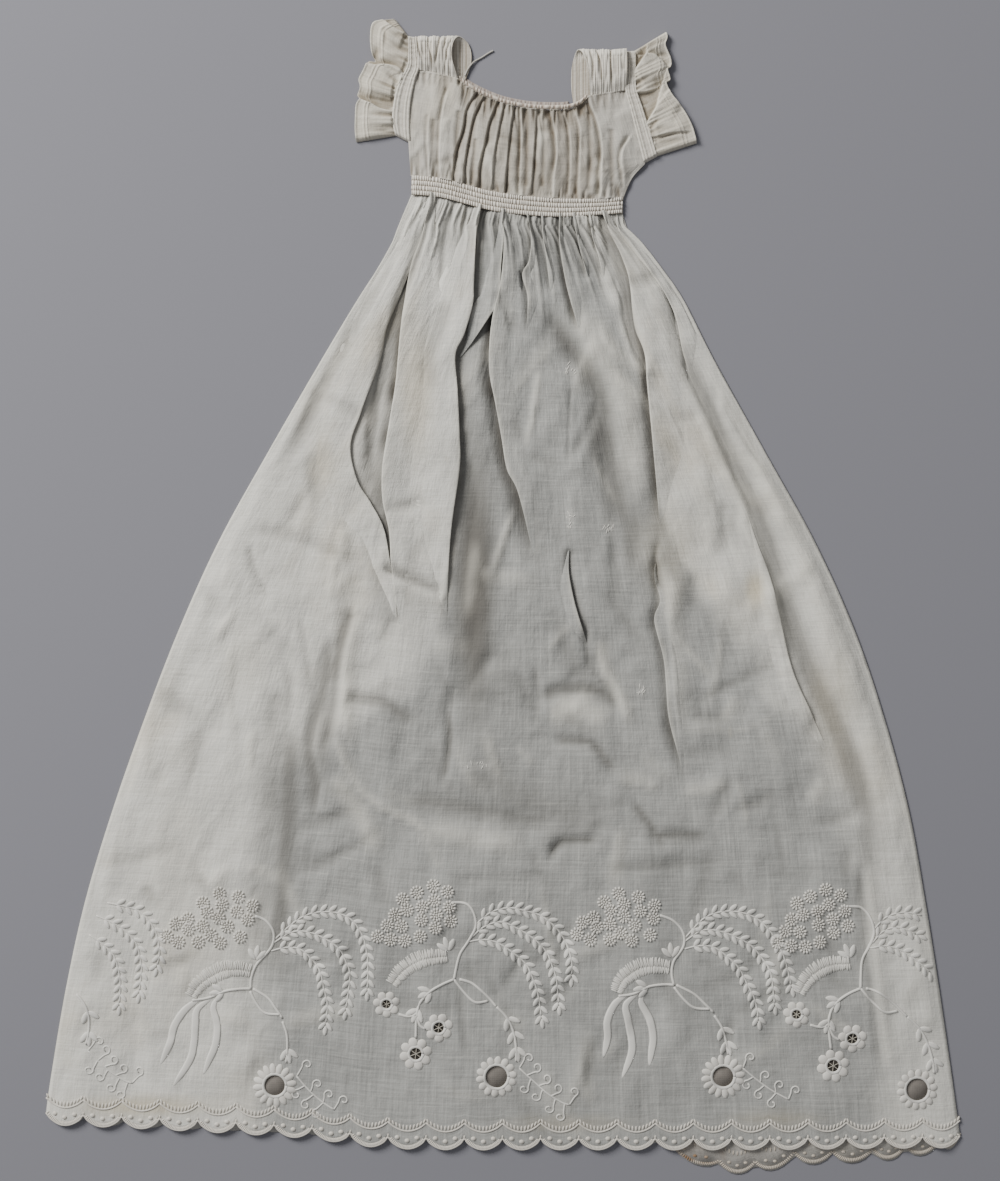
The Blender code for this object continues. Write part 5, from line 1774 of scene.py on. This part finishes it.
def add_strap(side, table, folds):
    """A gathered strap along its loop, with gathers running the long way."""
    node = "shoulder_strap_" + side
    piece, u, v = add_cloth(node + "_cloth", 96, 76)
    near = smooth_path([(r.neck_x, r.neck_y, r.z) for r in table], LOOP_STEPS)
    far = smooth_path([(r.arm_x, r.arm_y, r.z) for r in table], LOOP_STEPS)
    near[:, 0] += SEAM_OVERLAP
    across = u if side == "left" else 1 - u
    start, end = read_along(far, v), read_along(near, v)
    places = start + (end - start) * across[:, None]
    heading = np.gradient(np.stack([near[:, 1], near[:, 2]], axis=1), axis=0)
    normal = np.stack([-heading[:, 1], heading[:, 0]], axis=1)
    normal /= np.linalg.norm(normal, axis=1)[:, None]
    out_y, out_z = read_along(normal, v).T
    at_top = table[3]
    top_line = [(at_top.neck_x, at_top.neck_y), (at_top.arm_x, at_top.arm_y)]
    narrow = tucks_from(top_line, 0.1, 36, 12, -1, (16, 34), (0.7, 1.5))
    slim = [Fold(0.8 * f.height, 0.7 * f.left, 0.7 * f.right, f.path) for f in folds]
    height, trough, ridge = lay_folds(places[:, 0], places[:, 1], slim + narrow, 0.01, 0.3)
    fine = 0.28 * np.sin(places[:, 0] * 2 * np.pi / 2.6 + 1.6 * np.sin(places[:, 0] * 0.9))
    near_seam = 1 - smooth_step(0, 0.1, v)
    places[:, 1] -= 1.2 * near_seam
    places[:, 2] += 0.9 - 2.0 * near_seam
    ripple = (height + 0.6 + fine) * smooth_step(0, 0.06, np.minimum(across, 1 - across))
    on_top = smooth_step(0.62, 0.5, v)
    places[:, 1] += out_y * ripple * on_top
    places[:, 2] += out_z * ripple * on_top
    places[:, 2] = np.maximum(places[:, 2], 0.15) + 0.5
    set_places(piece, places)
    lay_weave(piece, across * 70, v * 80)
    # Painted shade in the gathers and over the inner layer of the loop, striped by its gathers; painted
    # highlight on the fold over the shoulder and, in the layer share, on ridges and ripples.
    inner = smooth_step(0.5, 0.6, v)
    dark = np.clip(np.maximum(trough / 3, -0.7 * fine) * on_top, 0, 0.7)
    gather_shade = 0.55 + 0.3 * np.sin(places[:, 0] * 2 * np.pi / 2.9 + 1.3 * np.sin(places[:, 0]))
    crest = np.exp(-((v - 0.4) / 0.09) ** 2) * (1 - dark)
    paint(piece, layers=np.clip(0.6 + 0.3 * ridge + fine, 0, 1), light=0.8 * crest,
          trough=np.maximum(dark, gather_shade * inner))
    # Colours: cloth, layered cloth, painted shade, stain.
    finish_cloth(piece, muslin(side + " strap muslin", (203, 197, 183), (224, 218, 205),
                               (116, 99, 74), (150, 120, 90)), node)
    return piece


strap_left = add_strap("left", STRAP_LEFT, STRAP_LEFT_FOLDS)
strap_right = add_strap("right", STRAP_RIGHT, STRAP_RIGHT_FOLDS)

# %% [markdown]
# ## Arm bands and frills
#
# A corded strip runs round each armhole, front and back in one ring, and a deep frill is
# gathered on to it. The frill is tight at the seam and opens into a few big lobes that lie
# over each other, with two tucks stitched round it near the edge.

# %% Tables of the sleeves
FRILL_LEFT_PLIES = [
    Ply(1.2, 2.4, 7.4, 5.5, 1.0, LEFT, [(-104.9, 525.3), (-96.6, 519.8), (-86.5, 514.3)]),
    Ply(1.2, 3.6, 8.3, 4.6, 1.2, LEFT, [(-124.2, 489), (-111.3, 488), (-101.2, 487), (-94.4, 484),
        (-91.4, 480), (-92.5, 475.6)]),
    Ply(1.4, 4.2, 11.0, 6.4, 1.5, LEFT, [(-133.4, 457.6), (-121.1, 452.5), (-112.1, 447.6),
        (-97.5, 444.8)]),
]
FRILL_LEFT_FOLDS = [
    Fold(-2.4, 2.2, 2.0, [(-80, 495.9), (-85.6, 499.8), (-99.4, 504.7), (-105.8, 507.8)], 1.4),
    Fold(-2.2, 2.0, 2.0, [(-84.6, 512), (-96.4, 514.6), (-102.3, 517.6)], 1.4),
    Fold(-2.0, 1.7, 1.7, [(-81, 504.2), (-89.2, 506.9), (-95.7, 510.1)], 1.4),
    Fold(-1.6, 1.8, 1.8, [(-83.7, 489.4), (-92.9, 493.1), (-102.1, 495), (-109.5, 495.9)], 1.4),
    Fold(-2.6, 3.1, 2.4, [(-118.7, 487.6), (-116.8, 495), (-115, 502.3), (-114.1, 509.7)], 1.2),
    Fold(-2.0, 1.8, 1.8, [(-99.4, 465.5), (-108.2, 469.2), (-118.7, 474.7)], 1.2),
    Fold(-1.6, 1.7, 1.7, [(-96.6, 471), (-102.1, 475.6), (-109.5, 480.2)], 1.3),
    Fold(1.4, 1.8, 1.8, [(-92, 479.3), (-93.8, 473.8), (-96.6, 467.4)]),
    Fold(-2.6, 4.6, 3.7, [(-97.5, 455.4), (-103, 453.1), (-112.2, 455.9), (-123.3, 460.4)], 1.2),
    Fold(-1.8, 1.8, 2.0, [(-97.5, 440.7), (-109.5, 441.6), (-124.2, 442.5)], 1.5),
    Fold(-1.2, 1.8, 1.8, [(-97.5, 430.6), (-109.5, 430.6), (-127.9, 432.4)], 1.5),
    Fold(1.0, 2.8, 2.8, [(-98.4, 435.6), (-109.5, 435.6), (-129.7, 437)], 1.4),
    Fold(-1.4, 1.8, 1.8, [(-98.4, 425), (-109.5, 426), (-122.4, 427.8)], 1.4),
    Fold(-1.2, 2.0, 2.0, [(-109.5, 520.7), (-107.6, 511.5), (-108.6, 502.3)]),
]
FRILL_RIGHT_PLIES = [
    Ply(1.8, 4.0, 11.0, 7.4, 1.0, RIGHT, [(131.6, 500.5), (130.4, 496.5), (122.4, 485.8), (118.7, 478.4),
        (113.6, 471)]),
    Ply(1.2, 2.4, 7.4, 4.6, 1.0, LEFT, [(131.6, 496.8), (139.2, 496.5), (146.1, 491.3), (153.2, 483)]),
    Ply(1.6, 4.4, 8.3, 7.4, 1.3, RIGHT, [(119.6, 460.9), (131.3, 462.3), (139.8, 465.1), (146.3, 468.3)]),
    Ply(2.0, 4.6, 11.0, 8.3, 0.8, RIGHT, [(145.4, 467.4), (142.6, 458.2), (140.2, 449.2), (132.5, 436.1),
        (129.7, 431.5)]),
    Ply(1.0, 2.0, 9.2, 2.4, 1.0, RIGHT, [(137.1, 420.9), (151.1, 423.6), (161.9, 425.2), (174.8, 426.5)]),
]
FRILL_RIGHT_FOLDS = [
    Fold(-2.2, 2.0, 2.0, [(115.9, 465), (124.4, 470.9), (138.9, 475.6)], 1.3),
    Fold(-1.6, 1.5, 1.5, [(116.8, 461.8), (124.2, 465.5), (131.6, 467.4)], 1.3),
    Fold(-3.0, 2.8, 2.8, [(126, 452.6), (131.6, 454.5), (135.2, 457.2)], 1.2),
    Fold(-3.0, 2.8, 2.8, [(126, 445.3), (130.6, 447.1), (133.4, 450.8)], 1.2),
    Fold(-3.0, 2.2, 2.2, [(129.7, 437.9), (131.6, 443.4), (135.2, 449)]),
    Fold(-1.8, 1.7, 1.7, [(135.2, 428.7), (139.8, 434.2), (146.3, 438.8)], 1.3),
    Fold(-1.4, 1.7, 1.7, [(135.2, 425), (144.4, 428.7), (153.6, 431.5)], 1.3),
    Fold(-2.4, 1.8, 1.8, [(115.9, 487.6), (119.6, 491.3), (126, 495)], 1.2),
    Fold(-2.4, 1.8, 1.8, [(115.9, 480.2), (119.6, 483.9), (122.4, 489.4)], 1.2),
    Fold(-1.4, 2.8, 2.8, [(126, 502.3), (137.1, 506), (148.1, 511.5)]),
    Fold(-1.6, 2.2, 2.2, [(140.8, 495), (148.1, 496.8), (153.6, 493.1)]),
    Fold(-1.2, 2.8, 2.8, [(139.8, 416.8), (153.6, 417.7), (170.2, 418.6)]),
]
FRILL_LEFT_RIM = [(-98, 529.5), (-109, 528.6), (-119.6, 526), (-122, 512.6), (-120.8, 499),
                  (-117.4, 491.2), (-123.8, 491), (-128.6, 482), (-132.5, 474.2), (-131.4, 467),
                  (-134, 460), (-131.6, 456.6), (-135, 450.5), (-135.8, 438.7), (-136, 427),
                  (-134.9, 417)]
FRILL_RIGHT_RIM = [(149.4, 518.8), (151, 513), (149.2, 505.6), (154, 493.6), (154.2, 486.2),
                   (151.2, 483.6), (153.6, 474), (149.8, 471), (155, 460), (165.8, 446.2),
                   (173.7, 431.5), (178, 416)]
Lobe = namedtuple("Lobe", "rise wide path")
LEFT_LOBES = [Lobe(2.4, 9, [(-90, 512), (-104, 517), (-116, 519)]),
              Lobe(2.2, 8, [(-90, 486), (-104, 490), (-119, 486)]),
              Lobe(2.8, 10, [(-100, 462), (-116, 464), (-132, 466)]),
              Lobe(2.0, 9, [(-100, 436), (-116, 435), (-134, 434)])]
RIGHT_LOBES = [Lobe(2.4, 9, [(123, 494), (136, 503), (149, 511)]),
               Lobe(2.6, 8, [(124, 474), (138, 482), (152, 488)]),
               Lobe(2.6, 8, [(146, 458), (154, 452), (164, 446)]),
               Lobe(2.0, 9, [(138, 427), (154, 430), (172, 428)])]


print("lobes:", len(LEFT_LOBES), len(RIGHT_LOBES))

# %% [markdown]
# Both rings are grids bent round on themselves. The first part of the columns lies on top and
# the rest comes back underneath, so the opening for the arm stays between them.

# %% Sleeve rings
FRONT_SHARE, BACK_SHARE = 0.56, 0.44


def ring_shares(u):
    """Where a share round a flattened ring lies: its front or back, and how far along it."""
    front = u < FRONT_SHARE
    turn = np.where(front, u / FRONT_SHARE, 1 - (u - FRONT_SHARE) / BACK_SHARE)
    return front, np.clip(turn, 0, 1)


def add_ring(name, inner, outer, flipped, columns, rows, form):
    """A closed flattened ring between two edges, shaped by a height over its front."""
    piece, u, v = add_cloth(name, columns, rows)
    front, turn = ring_shares(u)
    low, high = [read_along(smooth_path(line, LOOP_STEPS), turn) for line in (inner, outer)]
    flat = low + (high - low) * v[:, None]
    ends = np.clip(1 - np.minimum(turn, 1 - turn) / 0.02, 0, 1)
    top, dark, bright = form(turn, v, flat)
    height = np.where(front, top, 0.75) * (1 - ends) + ends * 0.9
    set_places(piece, np.column_stack([flat, height]))
    bpy.ops.object.mode_set(mode="EDIT")
    bpy.ops.mesh.select_all(action="SELECT")
    if flipped:
        bpy.ops.mesh.flip_normals()
    bpy.ops.object.mode_set(mode="OBJECT")
    lay_weave(piece, turn * 180, v * 45)
    # Painted shade and painted highlight on the front, also shifting the layer share.
    paint(piece, layers=np.clip(0.75 - 0.4 * dark + 0.3 * bright, 0, 1), trough=dark * front,
          light=bright * front)
    bpy.ops.object.mode_set(mode="EDIT")
    bpy.ops.mesh.select_all(action="SELECT")
    bpy.ops.mesh.remove_doubles(threshold=0.02 * MM)
    bpy.ops.object.mode_set(mode="OBJECT")
    return piece


def band_form(turn, v, flat):
    """Fine cords along the arm band, with slanted puckers across the strip between them."""
    cords = sum(np.exp(-((v - at) / 0.06) ** 2) for at in (0.1, 0.28, 0.74, 0.92))
    slant = np.sin(2 * np.pi * (turn * 19 + 0.5 * v) + 1.6 * np.sin(turn * 21))
    pucker = 0.12 * slant * (0.35 + 0.65 * smooth_step(0.2, 0.5, turn))
    # Painted shade between the cords and beside the puckers at the edge; painted highlight on the cords.
    dark = sum(np.exp(-((v - at) / 0.045) ** 2) for at in (0.19, 0.4, 0.62, 0.83))
    at_edge = np.exp(-((v - 0.04) / 0.07) ** 2)
    dark = 0.36 * dark + np.clip(-pucker, 0, 0.25) + 1.6 * at_edge * np.clip(-pucker, 0, 1)
    dark = np.clip(dark, 0, 0.8)
    return 4.2 + 0.8 * cords + pucker, dark, 0.6 * np.clip(cords, 0, 1)


def frill_form(plies, folds, lobes):
    """Lobes, folds and two tucks of one frill, from its gathered seam to its rim."""
    def form(turn, v, flat):
        x, y = flat.T
        height, trough, ridge = lay_folds(x, y, folds, 0.02, 0.65)
        steps, shade, light = lay_plies(x, y, plies, 0.05, 0.25)
        swell = [Fold(lobe.rise, lobe.wide, lobe.wide, lobe.path, 1.3) for lobe in lobes]
        lobed = lay_folds(x, y, swell, 0.1, 0.35)[0]
        wave = np.sin(2 * np.pi * turn * 19 + 2.9 * np.sin(turn * 17) + 1.7 * np.sin(turn * 41))
        gathers = 0.45 * wave * (0.2 + 0.8 * (1 - v) ** 1.2)
        tucks = sum(0.7 * np.exp(-((v - at) / 0.014) ** 2) for at in (0.68, 0.77))
        rim = 0.6 * smooth_step(0.95, 0.975, v)
        crumple = 0.25 * soft_noise.at(x, y, 11)
        lift = 0.8 * height + steps + lobed + gathers + tucks + rim + crumple
        # Painted shade in troughs, beside the lobes' edges, between gathers and in lines beside the tucks
        # and the rim; painted highlight on ridges, tucks and rim.
        dark = np.maximum(np.clip(trough / 3.4, 0, 0.6), 0.7 * shade)
        dark = dark + np.clip(-gathers * 0.6, 0, 0.3) * (1 - dark)
        line = sum(0.28 * np.exp(-((v - at) / 0.012) ** 2) for at in (0.655, 0.745, 0.945))
        dark = np.clip(np.maximum(dark, line), 0, 0.95)
        bright = np.maximum(light, np.clip(ridge / 2 + 0.7 * tucks + rim, 0, 0.8))
        return np.maximum(4.0 + lift, 1.9), dark, bright
    return form


# Colours: cloth, layered cloth, painted shade, stain.
ARM_COLOURS = [(190, 184, 171), (212, 206, 193), (124, 108, 84), (150, 120, 90)]
FRILL_COLOURS = [(178, 170, 153), (205, 198, 182), (104, 86, 58), (150, 120, 90)]


def add_sleeve(side, table, rim, plies, folds, lobes):
    """One sleeve's arm band and frill."""
    inner = [(s.inner_x, s.inner_y) for s in table]
    seam = [(s.seam_x, s.seam_y) for s in table]
    inward = SEAM_OVERLAP if side == "left" else -SEAM_OVERLAP
    arm_band = add_ring("armband_" + side + "_cloth", [(x + inward, y) for x, y in inner],
                        [(x - inward, y) for x, y in seam], side == "right", 220, 22, band_form)
    finish_cloth(arm_band, muslin(side + " arm band", *ARM_COLOURS), "armband_" + side)
    frill = add_ring("sleeve_frill_" + side + "_cloth", seam, rim, side == "right", 260, 50,
                     frill_form(plies, folds, lobes))
    finish_cloth(frill, muslin(side + " frill muslin", *FRILL_COLOURS),
                 "sleeve_frill_" + side)
    return arm_band, frill


arm_left, frill_left = add_sleeve("left", SLEEVE_LEFT, FRILL_LEFT_RIM[::-1], FRILL_LEFT_PLIES,
                                  FRILL_LEFT_FOLDS, LEFT_LOBES)
arm_right, frill_right = add_sleeve("right", SLEEVE_RIGHT, FRILL_RIGHT_RIM[::-1], FRILL_RIGHT_PLIES,
                                    FRILL_RIGHT_FOLDS, RIGHT_LOBES)

# %% [markdown]
# ## Drawstring
#
# A thin twisted cord comes out of the casing beside the left strap. Only its free end shows,
# lying over the strap and on the surface. Two plies are wound round each other along it.

# %% Drawstring
DRAWSTRING = [(-35, 478, 2.3), (-34, 480.5, 2.35), (-32.8, 483, 2.4), (-31.2, 485.6, 2.4),
              (-29.4, 488, 2.2), (-27.4, 490.3, 1.7), (-25, 492.2, 1.2), (-22.2, 493.8, 0.9),
              (-19.4, 495.3, 0.82), (-16.8, 497, 0.82), (-14.2, 498.7, 0.82),
              (-11.6, 500.2, 0.82), (-9, 501.5, 0.82)]
CORD_DIAMETER = 1.6
CORD_SIDES = 12
CORD_STEPS = 110


def twisted_cord(points, diameter):
    """A mesh tube along a route, grooved where its two plies wind round each other."""
    line = smooth_path(points, CORD_STEPS)
    heading = directions(line)
    side = np.cross(heading, [0, 0, 1.0])
    side /= np.linalg.norm(side, axis=1)[:, None]
    up = np.cross(side, heading)
    reach = np.concatenate([[0], np.cumsum(np.linalg.norm(np.diff(line, axis=0), axis=1))])
    rings = []
    for k in range(len(line)):
        for i in range(CORD_SIDES):
            angle = i * 2 * math.pi / CORD_SIDES
            groove = 0.72 + 0.28 * abs(math.cos(angle - reach[k] * 1.9))
            radius = diameter / 2 * groove
            rings.append(line[k] + radius * (math.cos(angle) * side[k] + math.sin(angle) * up[k]))
    return np.array(rings), tube_faces(len(line), CORD_SIDES)


cord_parts = [twisted_cord(DRAWSTRING, CORD_DIAMETER)]
drawstring = join_parts("drawstring_cord", cord_parts, lambda x, y: np.zeros_like(x),
                        floss("drawstring cotton", (196, 192, 182), (160, 154, 142)),
                        sink=0.0)
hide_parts("drawstring_end")

# %% [markdown]

# %% [markdown]
# ## Floor and light
#
# The gown lies on a plain floor. One big soft light stands to the upper left, as in the
# photograph, where the right and lower sides of the folds are darker, and the plain sky fills in.

# %% Floor and light
FLOOR_COLOUR = (124, 123, 128)
FLOOR_SIZE = 12
KEY_PLACE = (-2.5, 2.3, 2.1)
KEY_SIZE, KEY_POWER = 1.5, 270
SKY_COLOUR, SKY_STRENGTH = (0.93, 0.95, 1.0, 1), 0.36

bpy.ops.object.select_all(action="DESELECT")
bpy.ops.mesh.primitive_plane_add(size=FLOOR_SIZE, location=(0, 0, 0))
floor = bpy.context.object
floor.name = "floor"
floor_material, floor_shader, _ = new_material("floor", 0.85)
floor_shader.inputs["Base Color"].default_value = tone(*FLOOR_COLOUR)
floor.data.materials.append(floor_material)

key_data = bpy.data.lights.new("key", "AREA")
key_data.size = KEY_SIZE
key_data.energy = KEY_POWER
key = bpy.data.objects.new("key", key_data)
key.location = KEY_PLACE
key.rotation_euler = (Vector((0, 0, 0)) - key.location).to_track_quat("-Z", "Y").to_euler()
bpy.context.scene.collection.objects.link(key)
world = bpy.data.worlds.new("sky")
world.use_nodes = True
world.node_tree.nodes["Background"].inputs["Color"].default_value = SKY_COLOUR
world.node_tree.nodes["Background"].inputs["Strength"].default_value = SKY_STRENGTH
bpy.context.scene.world = world
print("lit")
